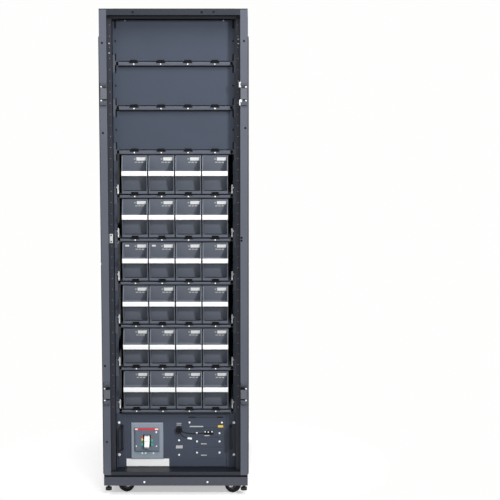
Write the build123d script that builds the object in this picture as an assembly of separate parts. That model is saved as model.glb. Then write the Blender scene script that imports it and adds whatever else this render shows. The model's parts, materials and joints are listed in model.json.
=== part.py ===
"""Modular UPS cabinet on casters, front door taken off.

Millimetres, +Z up. The front faces -Y, left and right are as seen from the front,
and the origin is on the floor under the middle of the cabinet.
"""
import os

from build123d import *

# Cabinet
WIDTH = 600
DEPTH = 1070
HEIGHT = 1991
SHEET = 2
SIDE_SHEET = 4
FRAME_X = WIDTH / 2 - SIDE_SHEET
HINGE_PROUD = 8
HANDLE_PROUD = 22
DOOR_DEPTH = 28
DOOR_GAP = 8
FRONT = -DEPTH / 2 + HINGE_PROUD
DOOR_OUT = DEPTH / 2 - HANDLE_PROUD
DOOR_IN = DOOR_OUT - DOOR_DEPTH
REAR = DOOR_IN - DOOR_GAP

# Levels
BASE_LOW = 46
BASE_TOP = 82
FLOOR_TOP = 86
SILL_TOP = 104
HEAD_LOW = 1964
STOP_LOW = 1950
ROOF_LOW = 1985
SIDE_TOP = 1880
SIDE_SPLIT = 963

# Posts
POST_X = 266
STOP_X = 248
STOP_Y = FRONT + 30
POST_WALL = 125
REAR_POST_X = 262

# Mounting rails and shelves
RAIL_Y = FRONT + 80
RAIL_INNER = 236
RAIL_OUTER = 249
RAIL_TOP = 1954
BACK_RAIL_Y = 203
ROW_PITCH = 178.2
LIP_LOWEST = 349.3
LIP_HALF = 225
LIP_DROP = 11
LIP_RISE = 7
LIP_Y = RAIL_Y - 14
PANEL_HALF = 236
PANEL_WIDE = 249
PANEL_H = 151
TOP_PANEL_H = 160
PANEL_RISE = 12
EAR_WINDOW = (226, 236)
SLIT = 2.5
BRACE_LEVELS = (480, 1010, 1560)
BRACE_X = 285

# Battery modules
MODULE_W = 104
MODULE_H = 157
MODULE_PITCH = 109
MODULE_DEPTH = 610
BEZEL_Y = RAIL_Y - 4
BAR_Z = 73
BAR_H = 19
BAR_REACH = 36
VISOR_REACH = 30
VISOR_TOP_REACH = 6
RIM_REACH = 14
CHEEK = 3.5
SCOOP_DEPTH = 20
POCKET_DEPTH = 16
BAR_THICK = 14
RIM_H = 11
TOP_EDGE = 3

# Breaker unit
UNIT_LOW = 105
UNIT_TOP = 332
UNIT_HALF = 241.3
UNIT_FACE_X = 211
UNIT_FACE_Y = RAIL_Y + 3
BREAKER_X = -122.5
BREAKER_Z = 215.5
BREAKER_W = 134
BREAKER_H = 153
TOGGLE_Z = 217
TOGGLE_REST = 35
TOGGLE_W = 22
TOGGLE_DRUM = 22
TOGGLE_REACH = 42
TOGGLE_SLOT = (32, 54)
TOGGLE_PIVOT_Y = UNIT_FACE_Y + 4
PIVOT_R = 3
GRIP_X = 225
GRIP_Z = 231
GRIP_H = 107

# Busbar rack behind the rear doors
BUSBAR_Y = 366
BUSBAR_HALF = 225
BUSBAR_H = 38
BUSBAR_PITCH = 67
GROUP_PITCH = 305
GROUP_TOP = 1530
UPRIGHT_X = 216

# Rear doors
DOOR_LOW = 90
DOOR_TOP = 1980
DOOR_EDGE = 295
DOOR_MEET = 3
STILE = 46
MEET_STILE = 15
DOOR_RAIL = 28
HINGE_X = 292
HINGE_Y = DOOR_IN + 10
HINGE_LEVELS = (230, 1035, 1840)
PIN_R = 4
PLAY = 0.05
ROD_X = -37
ROD_Y = DOOR_IN + 12
LEVER_X = -40
SPINDLE_Z = 1070

# Casters and feet
WHEEL_R = 34
WHEEL_W = 24
TRAIL = 14
CASTER_X = 221
CASTER_IN = 76
AXLE_R = 5
CASTER_TURN = {"front_left": 30, "front_right": -28, "rear_left": 150, "rear_right": 145}
FOOT_X = 280
FOOT_IN = 32
FOOT_LOW = 20


def block(x, y, z):
    """A box between its limits in x, y and z."""
    sides = (x, y, z)
    centre = [(low + high) / 2 for low, high in sides]
    size = [high - low for low, high in sides]
    return Pos(*centre) * Box(*size)


def folded(points, side=1):
    """The outline of a folded sheet, one thickness to the left (1) or right (-1) of its line."""
    corners = [Vector(*point) for point in points]
    normals = []
    for start, end in zip(corners, corners[1:]):
        along = (end - start).normalized()
        normals.append(Vector(-along.Y, along.X) * side)
    shifted = [corners[0] + normals[0] * SHEET]
    for corner, before, after in zip(corners[1:], normals, normals[1:]):
        shifted.append(corner + (before + after) * (SHEET / (1 + before.dot(after))))
    shifted.append(corners[-1] + normals[-1] * SHEET)
    return make_face(Polyline(*corners, *reversed(shifted), close=True))


def along_x(outline, x):
    """An outline drawn in (y, z), extruded between two places in x."""
    return Pos(x[0], 0, 0) * extrude(Plane.YZ * outline, x[1] - x[0])


def other_side(solid):
    return mirror(solid, about=Plane.YZ)


def save(name, *solids):
    shape = solids[0] if len(solids) == 1 else Compound(children=list(solids))
    export_step(shape, f"parts/{name}.step")


def lip_level(row):
    """Middle of the shelf lip under a row; rows count up from the lowest."""
    return LIP_LOWEST + row * ROW_PITCH


def front_post():
    """Right front post: a folded channel with the door stop flange inside."""
    line = [(FRAME_X, FRONT + POST_WALL), (FRAME_X, FRONT), (POST_X, FRONT), (POST_X, STOP_Y)]
    post = Pos(0, 0, FLOOR_TOP) * extrude(folded(line, -1), ROOF_LOW - FLOOR_TOP)
    stop = block((STOP_X, POST_X + SHEET), (STOP_Y - SHEET, STOP_Y), (SILL_TOP, STOP_LOW))
    return post + stop


def front_rails():
    """Header with its stop flange, and the sill with a wide top."""
    span = (-POST_X, POST_X)
    head = [(STOP_Y, STOP_LOW), (STOP_Y, HEAD_LOW), (FRONT, HEAD_LOW), (FRONT, ROOF_LOW)]
    head.append((STOP_Y, ROOF_LOW))
    sill = [(FRONT, FLOOR_TOP), (FRONT, SILL_TOP), (RAIL_Y - 6, SILL_TOP)]
    return along_x(folded(head, -1), span), along_x(folded(sill, -1), span)


def rear_post():
    line = [(FRAME_X, REAR - 70), (FRAME_X, REAR), (REAR_POST_X, REAR), (REAR_POST_X, REAR - 45)]
    return Pos(0, 0, FLOOR_TOP) * extrude(folded(line), ROOF_LOW - FLOOR_TOP)


def rear_rails():
    span = (-REAR_POST_X, REAR_POST_X)
    head = [(REAR - 30, ROOF_LOW), (REAR, ROOF_LOW), (REAR, 1940), (REAR - 30, 1940)]
    sill = [(REAR - 30, FLOOR_TOP), (REAR, FLOOR_TOP), (REAR, SILL_TOP), (REAR - 30, SILL_TOP)]
    return along_x(folded(head, -1), span), along_x(folded(sill, 1), span)


def base_rails():
    """Channels round the base: front and rear across, then the two sides."""
    front = [(FRONT + 18, BASE_LOW), (FRONT, BASE_LOW), (FRONT, BASE_TOP), (FRONT + 18, BASE_TOP)]
    rear = [(REAR - 18, BASE_LOW), (REAR, BASE_LOW), (REAR, BASE_TOP), (REAR - 18, BASE_TOP)]
    span = (-FRAME_X, FRAME_X)
    cross = [along_x(folded(front, -1), span), along_x(folded(rear, 1), span)]
    for x in (-130, 130):
        cross[0] -= Pos(x, FRONT, 61) * Rot(90, 0, 0) * Cylinder(3.3, 10)
        cross[1] -= Pos(x, REAR, 61) * Rot(90, 0, 0) * Cylinder(3.3, 10)
    side = [(FRAME_X - 18, BASE_LOW), (FRAME_X, BASE_LOW), (FRAME_X, BASE_TOP), (FRAME_X - 18, BASE_TOP)]
    outline = Plane.XZ * folded(side)
    rail = Pos(0, REAR - 18, 0) * extrude(outline, REAR - FRONT - 36)
    return cross, [rail, other_side(rail)]


def floor_pan():
    return block((-FRAME_X + 6, FRAME_X - 6), (FRONT + 16, REAR - 16), (BASE_TOP, FLOOR_TOP))


def roof_panel():
    """Shallow pan with a pressed field."""
    pan = block((-FRAME_X, FRAME_X), (FRONT, REAR), (ROOF_LOW, HEIGHT - 2))
    hollow_x = (-FRAME_X + SHEET, FRAME_X - SHEET)
    pan -= block(hollow_x, (FRONT + SHEET, REAR - SHEET), (ROOF_LOW, HEIGHT - 4))
    field = block((-FRAME_X + 45, FRAME_X - 45), (FRONT + 45, REAR - 45), (HEIGHT - 2, HEIGHT))
    return pan + fillet(field.edges().filter_by(Axis.Z), 12)


def top_side_rail():
    line = [(FRAME_X - 10, SIDE_TOP), (FRAME_X, SIDE_TOP), (FRAME_X, ROOF_LOW), (FRAME_X - 10, ROOF_LOW)]
    outline = Plane.XZ * folded(line)
    return Pos(0, REAR - 70, 0) * extrude(outline, REAR - FRONT - 70 - POST_WALL)


def side_braces():
    """Channels between the posts that carry the rear mounting rails."""
    braces = []
    for level in BRACE_LEVELS:
        brace = block((BRACE_X, FRAME_X - SHEET), (FRONT + 60, REAR - 10), (level, level + 40))
        braces += [brace, other_side(brace)]
    return braces


def side_panel(low, high):
    """Right side panel with a shallow latch recess under its upper edge."""
    panel = block((FRAME_X, WIDTH / 2), (FRONT + 12, REAR - 8), (low, high))
    panel = chamfer(panel.faces().sort_by(Axis.X)[-1].edges(), 1.5)
    recess = block((WIDTH / 2 - 2, WIDTH / 2 + 1), (-60, 60), (high - 70, high - 45))
    return panel - fillet(recess.edges().filter_by(Axis.X), 10)


def mounting_rails():
    """Four rails: a front flange, a web and an outward flange to the frame."""
    rails = []
    for face in (RAIL_Y, BACK_RAIL_Y):
        line = [(RAIL_INNER, face), (RAIL_OUTER, face), (RAIL_OUTER, face + 38), (BRACE_X, face + 38)]
        rail = Pos(0, 0, FLOOR_TOP) * extrude(folded(line), RAIL_TOP - FLOOR_TOP)
        rails += [rail, other_side(rail)]
    return rails


def shelf(row):
    """Tray with a front lip, four latch notches and ears on the rails."""
    mid = lip_level(row)
    lip_z = (mid - LIP_DROP, mid + LIP_RISE)
    tray_z = (lip_z[1] - SHEET, lip_z[1])
    whole = block((1 - LIP_HALF, LIP_HALF - 1), (LIP_Y, BACK_RAIL_Y), tray_z)
    whole += block((-LIP_HALF, LIP_HALF), (LIP_Y, LIP_Y + SHEET), lip_z)
    for side in (-1, 1):
        cheek = sorted((side * LIP_HALF, side * (LIP_HALF - SHEET)))
        ear = sorted((side * (LIP_HALF - SHEET), side * PANEL_WIDE))
        strip = sorted((side * (PANEL_HALF + SLIT), side * PANEL_WIDE))
        hold = sorted((side * (LIP_HALF - SHEET), side * (RAIL_OUTER - 5)))
        whole += block(cheek, (LIP_Y, RAIL_Y), lip_z)
        whole += block(ear, (RAIL_Y - SHEET, RAIL_Y), lip_z)
        whole += block(strip, (RAIL_Y - SHEET, RAIL_Y), (max(mid - 38, UNIT_TOP + 2), mid + 34))
        whole += block(hold, (BACK_RAIL_Y - SHEET, BACK_RAIL_Y), lip_z)
        window = sorted(side * x for x in EAR_WINDOW)
        whole -= block(window, (RAIL_Y - 5, RAIL_Y + 5), (lip_z[0] + 2, lip_z[1] - 2))
    for place in range(4):
        x = (place - 1.5) * MODULE_PITCH
        whole -= block((x - 15, x + 15), (LIP_Y - 1, LIP_Y + SHEET), (mid - 1, mid + 9))
    return whole


def blank_panel(row):
    """Cover plate, narrowed at its corners beside the shelf ears, with a notch in each side."""
    low = lip_level(row) + PANEL_RISE
    height = TOP_PANEL_H if row == 8 else PANEL_H
    sheet_y = (RAIL_Y - SHEET, RAIL_Y)
    panel = block((-PANEL_HALF, PANEL_HALF), sheet_y, (low, low + height))
    panel += block((-PANEL_WIDE, PANEL_WIDE), sheet_y, (low + 25, low + PANEL_H - 26))
    for side in (-1, 1):
        notch = Pos(side * 239, RAIL_Y, low + PANEL_H / 2) * Rot(90, 0, 0) * SlotOverall(11, 4, 90)
        panel -= extrude(notch, 10, both=True)
        panel += block((side * 172 - 3, side * 172 + 3), sheet_y, (low + height, low + height + 3))
    return panel


def battery_module():
    """One module at the origin, its base at z = 0: a moulded front whose cheeks carry a handle bar
    across a scoop above and a pocket below, so that fingers reach round the bar; a plain case."""
    bar_top = BAR_Z + BAR_H
    half = MODULE_W / 2
    inside = (-half + CHEEK, half - CHEEK)
    side = [(0, 0), (-RIM_REACH, 0), (-RIM_REACH, RIM_H), (-VISOR_REACH, BAR_Z), (-VISOR_REACH, bar_top)]
    side += [(-VISOR_TOP_REACH, MODULE_H), (0, MODULE_H)]
    front = along_x(make_face(Polyline(*side, close=True)), (-half, half))
    front += block((-half + 2, half - 2), (0, MODULE_DEPTH), (0, MODULE_H - 4))
    scoop = [(-60, MODULE_H - TOP_EDGE), (-VISOR_TOP_REACH - 1, MODULE_H - TOP_EDGE), (SCOOP_DEPTH, bar_top)]
    scoop += [(POCKET_DEPTH, BAR_Z), (-60, BAR_Z)]
    front -= along_x(make_face(Polyline(*scoop, close=True)), inside)
    mouth = Plane((0, -60, (BAR_Z + RIM_H) / 2), x_dir=(1, 0, 0), z_dir=(0, 1, 0))
    front -= extrude(mouth * Rectangle(MODULE_W - 2 * CHEEK, BAR_Z - RIM_H), 60 + POCKET_DEPTH)
    front -= block((-15, 15), (-RIM_REACH - 1, -RIM_REACH + 8), (-1, 7))
    bar = block((-half, half), (-BAR_REACH, -BAR_REACH + BAR_THICK), (BAR_Z, bar_top))
    bar = fillet(bar.edges().filter_by(Axis.X), 3)
    return front + bar


def battery_row(row):
    module = battery_module()
    places = [(place - 1.5) * MODULE_PITCH for place in range(4)]
    return [Pos(x, BEZEL_Y, lip_level(row) + LIP_RISE) * module for x in places]


def breaker_panel():
    """Folded front of the breaker unit: ears on the rails and a recessed face."""
    back = UNIT_FACE_Y + SHEET
    line = [(-UNIT_HALF, RAIL_Y), (-UNIT_FACE_X, RAIL_Y), (-UNIT_FACE_X, back)]
    line += [(-x, y) for x, y in reversed(line)]
    panel = Pos(0, 0, UNIT_LOW) * extrude(folded(line, -1), UNIT_TOP - UNIT_LOW)
    window_x = (BREAKER_X - 60, BREAKER_X + 60)
    return panel - block(window_x, (RAIL_Y - 9, RAIL_Y + 9), (BREAKER_Z - 66, BREAKER_Z + 66))


def unit_case():
    """Sheet box behind the breaker panel."""
    outer = block((-UNIT_FACE_X, UNIT_FACE_X), (UNIT_FACE_Y + SHEET, 120), (UNIT_LOW, UNIT_TOP - 4))
    inner_x = (-UNIT_FACE_X + SHEET, UNIT_FACE_X - SHEET)
    return outer - block(inner_x, (UNIT_FACE_Y, 118), (UNIT_LOW + SHEET, UNIT_TOP - 6))


def breaker_case():
    """Moulded breaker: bezel in front of the panel, raised face with the toggle slot and its pivot."""
    face = UNIT_FACE_Y
    half_w = BREAKER_W / 2
    half_h = BREAKER_H / 2
    bezel_z = (BREAKER_Z - half_h, BREAKER_Z + half_h)
    bezel = block((BREAKER_X - half_w, BREAKER_X + half_w), (face - 6, face), bezel_z)
    bezel = chamfer(bezel.faces().sort_by(Axis.Y)[0].edges(), 3)
    body = block((BREAKER_X - 58, BREAKER_X + 58), (face, face + 90), (BREAKER_Z - 64, BREAKER_Z + 64))
    nose = block((BREAKER_X - 51, BREAKER_X + 51), (face - 14, face), (BREAKER_Z - 43, BREAKER_Z + 57))
    nose = chamfer(nose.faces().sort_by(Axis.Y)[0].edges(), 2.5)
    slot = Pos(BREAKER_X, face, TOGGLE_Z) * Box(TOGGLE_SLOT[0], 66, TOGGLE_SLOT[1])
    pivot = Pos(BREAKER_X, TOGGLE_PIVOT_Y, TOGGLE_Z) * Rot(0, 90, 0) * Cylinder(PIVOT_R, TOGGLE_SLOT[0] + 2)
    return bezel + body + nose - slot + pivot


def breaker_toggle():
    """Tapered lever on a round pivot drum, standing at the lower end of its slot."""
    tip = Pos(TOGGLE_REACH - 4, 0) * Rectangle(8, 10)
    outline = make_hull(Circle(TOGGLE_DRUM / 2).edges() + tip.edges())
    lever = extrude(outline, TOGGLE_W / 2 - 1, both=True)
    lever = fillet(lever.edges().filter_by(Axis.Z).sort_by(Axis.X)[-2:], 2)
    lever += Cylinder(TOGGLE_DRUM, TOGGLE_W)
    lever -= Cylinder(PIVOT_R + PLAY, 40)
    turned = Rot(TOGGLE_REST - 90, 0, 0) * Rot(0, 90, 0) * lever
    return Pos(BREAKER_X, TOGGLE_PIVOT_Y, TOGGLE_Z) * turned


def panel_grip():
    """Right bow handle on the ear of the breaker panel."""
    face = RAIL_Y - SHEET
    line = Polyline((face, GRIP_Z - GRIP_H / 2), (face - 30, GRIP_Z - GRIP_H / 2 + 8),
                    (face - 30, GRIP_Z + GRIP_H / 2 - 8), (face, GRIP_Z + GRIP_H / 2))
    bow = make_face(offset(line, amount=7, side=Side.RIGHT, kind=Kind.INTERSECTION))
    bar = along_x(bow, (GRIP_X - 5, GRIP_X + 5))
    return bar & block((GRIP_X - 9, GRIP_X + 9), (face - 60, face), (GRIP_Z - 90, GRIP_Z + 90))


def interface_cards():
    """Cover plates at the right of the panel and the strip beside the socket."""
    face = UNIT_FACE_Y
    plates = [((45, 202), (262, 322))]
    plates += [((76, 193), z) for z in ((232, 258), (190, 228), (142, 184))]
    return [block(x, (face - SHEET, face), z) for x, z in plates]


def round_socket():
    body = Pos(10, UNIT_FACE_Y - 7, 262) * Rot(90, 0, 0) * Cylinder(13.5, 14)
    bore = Pos(10, UNIT_FACE_Y - 11, 262) * Rot(90, 0, 0) * Cylinder(8, 8)
    return chamfer(body.edges().sort_by(Axis.Y)[0], 2) - bore


def front_hinges():
    """Door hinge seats left on the front posts: a plate between two ears."""
    seats = []
    for level in (433, 1652):
        seat = block((268, 294), (FRONT - 2, FRONT), (level - 46, level + 46))
        for ear in (-1, 1):
            mid = level + ear * 39
            lug = block((268, 294), (FRONT - HINGE_PROUD, FRONT), (mid - 7, mid + 7))
            seat += chamfer(lug.faces().sort_by(Axis.Y)[0].edges(), 2)
        seats += [seat, other_side(seat)]
    return seats


def busbar_upright():
    """Right upright of the busbar rack, standing on the floor pan."""
    line = [(UPRIGHT_X, BUSBAR_Y + 8), (240, BUSBAR_Y + 8), (240, BUSBAR_Y - 26)]
    return Pos(0, 0, FLOOR_TOP) * extrude(folded(line, -1), 1776 - FLOOR_TOP)


def busbar_levels():
    groups = [GROUP_TOP - group * GROUP_PITCH for group in range(4)]
    return [top - bar * BUSBAR_PITCH for top in groups for bar in range(4)]


def busbar(level, height=BUSBAR_H):
    half = height / 2
    return block((-BUSBAR_HALF, BUSBAR_HALF), (BUSBAR_Y, BUSBAR_Y + 6), (level - half, level + half))


def insulator(level, bay):
    x = bay * 43
    return block((x - 12, x + 12), (BUSBAR_Y + 6, BUSBAR_Y + 15), (level - 20, level + 20))


def riser(x):
    """Copper strip that joins the bars of the rack from behind."""
    return block((x - 2, x + 2), (BUSBAR_Y - 24, BUSBAR_Y), (270, 1790))


def tray_bracket(low, high, slot_mid):
    """Slotted cable bracket between the rear posts."""
    plate = block((-REAR_POST_X, REAR_POST_X), (REAR - 34, REAR - 34 + SHEET), (low, high))
    plate += block((-REAR_POST_X, REAR_POST_X), (REAR - 52, REAR - 34), (low, low + SHEET))
    for place in range(31):
        x = (place - 15) * 15.8
        plate -= block((x - 4.2, x + 4.2), (REAR - 40, REAR - 30), (slot_mid - 10.5, slot_mid + 10.5))
    return plate


def backplane_board(row):
    mid = lip_level(row) + 90
    return block((-232, 232), (BACK_RAIL_Y - SHEET, BACK_RAIL_Y), (mid - 62, mid + 62))


def door_frame(side):
    """Hollow folded ring of one rear leaf, notched round its three hinge arms."""
    outer = block((DOOR_MEET, DOOR_EDGE), (DOOR_IN, DOOR_OUT), (DOOR_LOW, DOOR_TOP))
    window_x = (DOOR_MEET + MEET_STILE, DOOR_EDGE - STILE)
    window_z = (DOOR_LOW + DOOR_RAIL, DOOR_TOP - DOOR_RAIL)
    window = block(window_x, (DOOR_IN - 1, DOOR_OUT + 1), window_z)
    hollow = block((DOOR_MEET + SHEET, DOOR_EDGE - SHEET), (DOOR_IN, DOOR_OUT - SHEET),
                   (DOOR_LOW + SHEET, DOOR_TOP - SHEET))
    hollow -= block((window_x[0] - SHEET, window_x[1] + SHEET), (DOOR_IN - 1, DOOR_OUT),
                    (window_z[0] - SHEET, window_z[1] + SHEET))
    ring = outer - window - hollow
    for level in HINGE_LEVELS:
        notch_x = (HINGE_X - 14, DOOR_EDGE + 1)
        ring -= block(notch_x, (DOOR_IN - 1, DOOR_OUT - SHEET), (level - 34, level + 2))
        ring += block((HINGE_X - 7, DOOR_EDGE), (DOOR_IN + 2, DOOR_OUT - 1), (level + 2, level + 32))
        ring -= Pos(HINGE_X, HINGE_Y, level + 14) * Cylinder(PIN_R + PLAY, 40)
    if side > 0:
        return ring
    for level in (DOOR_LOW + DOOR_RAIL, DOOR_TOP - DOOR_RAIL):
        ring -= Pos(-ROD_X, ROD_Y, level) * Cylinder(5, 8)
    return other_side(ring)


def door_mesh(side):
    x = sorted((side * (DOOR_MEET + MEET_STILE), side * (DOOR_EDGE - STILE)))
    return block(x, (DOOR_OUT - 6, DOOR_OUT - 4.5), (DOOR_LOW + DOOR_RAIL, DOOR_TOP - DOOR_RAIL))


def rear_hinges():
    """Plate, arm and pin of each hinge on the rear posts."""
    hinges = []
    for level in HINGE_LEVELS:
        hinge = block((268, 295), (REAR, REAR + SHEET), (level - 32, level + 32))
        hinge += block((HINGE_X - 5, 295), (REAR, HINGE_Y + 5), (level - 6, level))
        hinge += Pos(HINGE_X, HINGE_Y, level + 11) * Cylinder(PIN_R, 34)
        hinges += [hinge, other_side(hinge)]
    return hinges


def handle_plate():
    """Escutcheon with a round boss outside the mesh, and the lock case behind it."""
    plate = block((LEVER_X - 17, LEVER_X + 17), (DOOR_OUT - 4.5, DOOR_OUT + 2), (936, 1092))
    plate = fillet(plate.edges().filter_by(Axis.Y), 6)
    boss = Pos(LEVER_X, DOOR_OUT + 4.5, SPINDLE_Z) * Rot(90, 0, 0) * Cylinder(9, 5)
    case = block((LEVER_X - 17, LEVER_X + 17), (DOOR_OUT - 11, DOOR_OUT - 6), (940, 1088))
    return plate + boss, case


def handle_lever():
    """Lever that hangs from its spindle, with the lock barrel at its lower end."""
    face = DOOR_OUT + 7
    spindle = Pos(LEVER_X, face + 6, SPINDLE_Z) * Rot(90, 0, 0) * Cylinder(12, 12)
    left = [(LEVER_X - 10, SPINDLE_Z), (LEVER_X - 13, 945)]
    right = [(LEVER_X + 13, 945), (LEVER_X + 10, SPINDLE_Z)]
    outline = Polyline(*left, *right, close=True)
    blade = Pos(0, face + 12, 0) * extrude(Plane.XZ * make_face(outline), 12)
    lock = Pos(LEVER_X, face + 13.5, 966) * Rot(90, 0, 0) * Cylinder(8.5, 3)
    return spindle + fillet(blade.edges().filter_by(Axis.Y).sort_by(Axis.Z)[:2], 7) + lock


def lock_rods():
    upper = Pos(ROD_X, ROD_Y, (1040 + 1972) / 2) * Cylinder(4, 932)
    lower = Pos(ROD_X, ROD_Y, (990 + 98) / 2) * Cylinder(4, 892)
    return upper, lower


def caster_place(name):
    x = CASTER_X if name.endswith("right") else -CASTER_X
    y = FRONT + CASTER_IN if name.startswith("front") else REAR - CASTER_IN
    return Pos(x, y, 0) * Rot(0, 0, CASTER_TURN[name])


def caster_plate():
    return block((-30, 30), (-30, 30), (BASE_TOP - 4, BASE_TOP))


def caster_fork():
    """Swivel race, crown, two cheeks and the axle."""
    race = Pos(0, 0, 75) * Cylinder(19, 5)
    crown = block((-20, TRAIL + 8), (-17, 17), (69.5, 72.5))
    boss = Pos(TRAIL, WHEEL_R) * Circle(11)
    top = Pos((TRAIL - 12) / 2, 70.5) * Rectangle(TRAIL + 28, 2)
    cheek = Plane.XZ * make_hull(boss.edges() + top.edges())
    fork = race + crown + Pos(0, 17, 0) * extrude(cheek, 3) + Pos(0, -14, 0) * extrude(cheek, 3)
    return fork + Pos(TRAIL, 0, WHEEL_R) * Rot(90, 0, 0) * Cylinder(AXLE_R, 38)


def caster_wheel():
    tyre = Cylinder(WHEEL_R, WHEEL_W)
    tyre = fillet(tyre.edges(), 5)
    for side in (-1, 1):
        tyre -= Pos(0, 0, side * WHEEL_W / 2) * Cylinder(21, 6)
    tyre += Cylinder(9, WHEEL_W + 2)
    tyre -= Cylinder(AXLE_R + PLAY, 60)
    return Pos(TRAIL, 0, WHEEL_R) * Rot(90, 0, 0) * tyre


def level_feet():
    """A round pad on a threaded stem at each corner."""
    standing = (Align.CENTER, Align.CENTER, Align.MIN)
    foot = Cylinder(13, 12, align=standing) + Cylinder(5, BASE_LOW - FOOT_LOW, align=standing)
    feet = []
    for x in (-FOOT_X, FOOT_X):
        feet += [Pos(x, y, FOOT_LOW) * foot for y in (FRONT + FOOT_IN, REAR - FOOT_IN)]
    return feet


os.makedirs("parts", exist_ok=True)

post = front_post()
save("front_post_left", other_side(post))
save("front_post_right", post)
save("front_rails", *front_rails())
back_post = rear_post()
save("rear_posts", back_post, other_side(back_post))
save("rear_rails", *rear_rails())
cross_rails, long_rails = base_rails()
save("base_cross_rails", *cross_rails)
save("base_side_rails", *long_rails)
save("floor_pan", floor_pan())
save("roof_panel", roof_panel())
top_rail = top_side_rail()
save("top_side_rails", top_rail, other_side(top_rail))
save("side_braces", *side_braces())
upper = side_panel(SIDE_SPLIT + 4, SIDE_TOP)
lower = side_panel(SILL_TOP - 12, SIDE_SPLIT)
save("side_panel_right_upper", upper)
save("side_panel_right_lower", lower)
save("side_panel_left_upper", other_side(upper))
save("side_panel_left_lower", other_side(lower))
save("mounting_rails", *mounting_rails())
save("module_shelves", *[shelf(row) for row in range(9)])
save("blank_panels", *[blank_panel(row) for row in (6, 7, 8)])
for row in range(6):
    save(f"battery_row_{row + 1}", *battery_row(row))
save("breaker_panel", breaker_panel())
save("breaker_unit_case", unit_case())
save("breaker_case", breaker_case())
save("breaker_toggle", breaker_toggle())
grip = panel_grip()
save("panel_grips", grip, other_side(grip))
save("interface_cards", *interface_cards())
save("round_socket", round_socket())
save("front_door_hinge_seats", *front_hinges())
upright = busbar_upright()
save("busbar_uprights", upright, other_side(upright))
levels = busbar_levels()
copper = levels[7]
save("tinned_busbars", *[busbar(level) for level in levels if level != copper])
save("copper_busbar", busbar(copper))
save("rack_cross_bars", busbar(1605, 24), busbar(330, 24))
save("copper_risers", *[riser(x) for x in (-163, -140, -113, -62, 51, 80, 107, 134, 159)])
bays = [(-3, 2), (-3, 3), (-3, 2), (-3, 2), (-3, 2), (2, -2), (-3, 4), (3, -4)]
bays += [(-2, 3), (-4, 3), (-2, 3), (-3, 1), (-3, 2), (-3, 3), (-3, 2), (-3, 4)]
insulators = []
for level, pair in zip(levels, bays):
    insulators += [insulator(level, bay) for bay in pair]
save("busbar_insulators", *insulators)
save("backplane_boards", *[backplane_board(row) for row in range(9)])
save("cable_bracket_top", tray_bracket(1882, 1934, 1903))
save("cable_bracket_bottom", tray_bracket(134, 212, 189))
save("rear_hinges", *rear_hinges())
save("rear_door_right_frame", door_frame(1))
save("rear_door_right_mesh", door_mesh(1))
save("rear_door_left_frame", door_frame(-1))
save("rear_door_left_mesh", door_mesh(-1))
save("door_handle_plate", *handle_plate())
save("door_handle", handle_lever())
rod_up, rod_down = lock_rods()
save("lock_rod_upper", rod_up)
save("lock_rod_lower", rod_down)
plates = []
for name in CASTER_TURN:
    place = caster_place(name)
    plates.append(place * caster_plate())
    save(f"caster_fork_{name}", place * caster_fork())
    save(f"caster_wheel_{name}", place * caster_wheel())
save("caster_plates", *plates)
save("levelling_feet", *level_feet())
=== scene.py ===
# %% [markdown]
# # A modular UPS cabinet, dressed around its CAD frame
# The cabinet is a tall steel enclosure on casters. Its front door is off, so shelves of battery
# modules, blank panels and a breaker unit show, and two perforated half doors close the rear.
# The CAD model already gives every sheet, rail and module its true place, so this lesson keeps
# those solids, paints them, and adds what CAD leaves out: labels, screws, marks and perforation.

# %% Load the frame
import json
import math

import bmesh
import bpy
from mathutils import Matrix, Vector


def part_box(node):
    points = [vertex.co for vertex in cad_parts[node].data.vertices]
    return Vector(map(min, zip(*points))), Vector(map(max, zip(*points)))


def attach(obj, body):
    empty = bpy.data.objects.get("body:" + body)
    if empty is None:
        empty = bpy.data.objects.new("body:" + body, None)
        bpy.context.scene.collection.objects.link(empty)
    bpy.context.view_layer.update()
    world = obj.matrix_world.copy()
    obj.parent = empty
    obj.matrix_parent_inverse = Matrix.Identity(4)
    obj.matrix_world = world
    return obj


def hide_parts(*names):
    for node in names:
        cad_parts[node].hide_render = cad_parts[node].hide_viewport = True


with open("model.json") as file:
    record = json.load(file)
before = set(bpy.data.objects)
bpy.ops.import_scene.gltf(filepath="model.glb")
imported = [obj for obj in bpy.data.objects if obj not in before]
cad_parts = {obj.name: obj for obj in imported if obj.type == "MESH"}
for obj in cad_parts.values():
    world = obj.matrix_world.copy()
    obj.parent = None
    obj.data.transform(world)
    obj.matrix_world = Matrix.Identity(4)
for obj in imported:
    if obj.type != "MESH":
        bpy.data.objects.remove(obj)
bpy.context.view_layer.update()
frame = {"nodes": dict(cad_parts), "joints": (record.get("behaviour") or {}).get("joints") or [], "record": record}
scene = bpy.context.scene

# %% [markdown]
# ## The camera
# The picture was taken from well in front of the cabinet, a little to its right and near its top,
# looking slightly down. A long lens keeps the posts almost parallel. The values below were fitted
# to the outline and the shelf levels, so no lens shift is needed.

# %% Camera
CAMERA_PLACE = (0.3053, -6.5792, 1.7412)
CAMERA_TILT = 6.759
LENS = 108.5

camera_data = bpy.data.cameras.new("camera")
camera_data.sensor_width = 36
camera_data.lens = LENS
camera = bpy.data.objects.new("camera", camera_data)
camera.location = CAMERA_PLACE
camera.rotation_euler = (math.radians(90 - CAMERA_TILT), 0, 0)
scene.collection.objects.link(camera)
scene.camera = camera
scene.view_settings.view_transform = "Standard"
print("camera at", CAMERA_PLACE, "lens", LENS)

# %% [markdown]
# ## Light, floor and backdrop
# A white studio. One soft box stands in front and to the right, and gives the recesses of the modules
# their shadow on one side. A wide weak one opens the shadows, a low one stands for the light that a
# white floor throws back, one lights the rear and one the roof. Rays from the camera, off gloss and
# through glass see a plain white world, and the floor fades into that white away from the cabinet, so
# no horizon line shows. To the camera alone the floor also glows a little, which keeps the shadow on it
# pale without more light on the cabinet.

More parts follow.
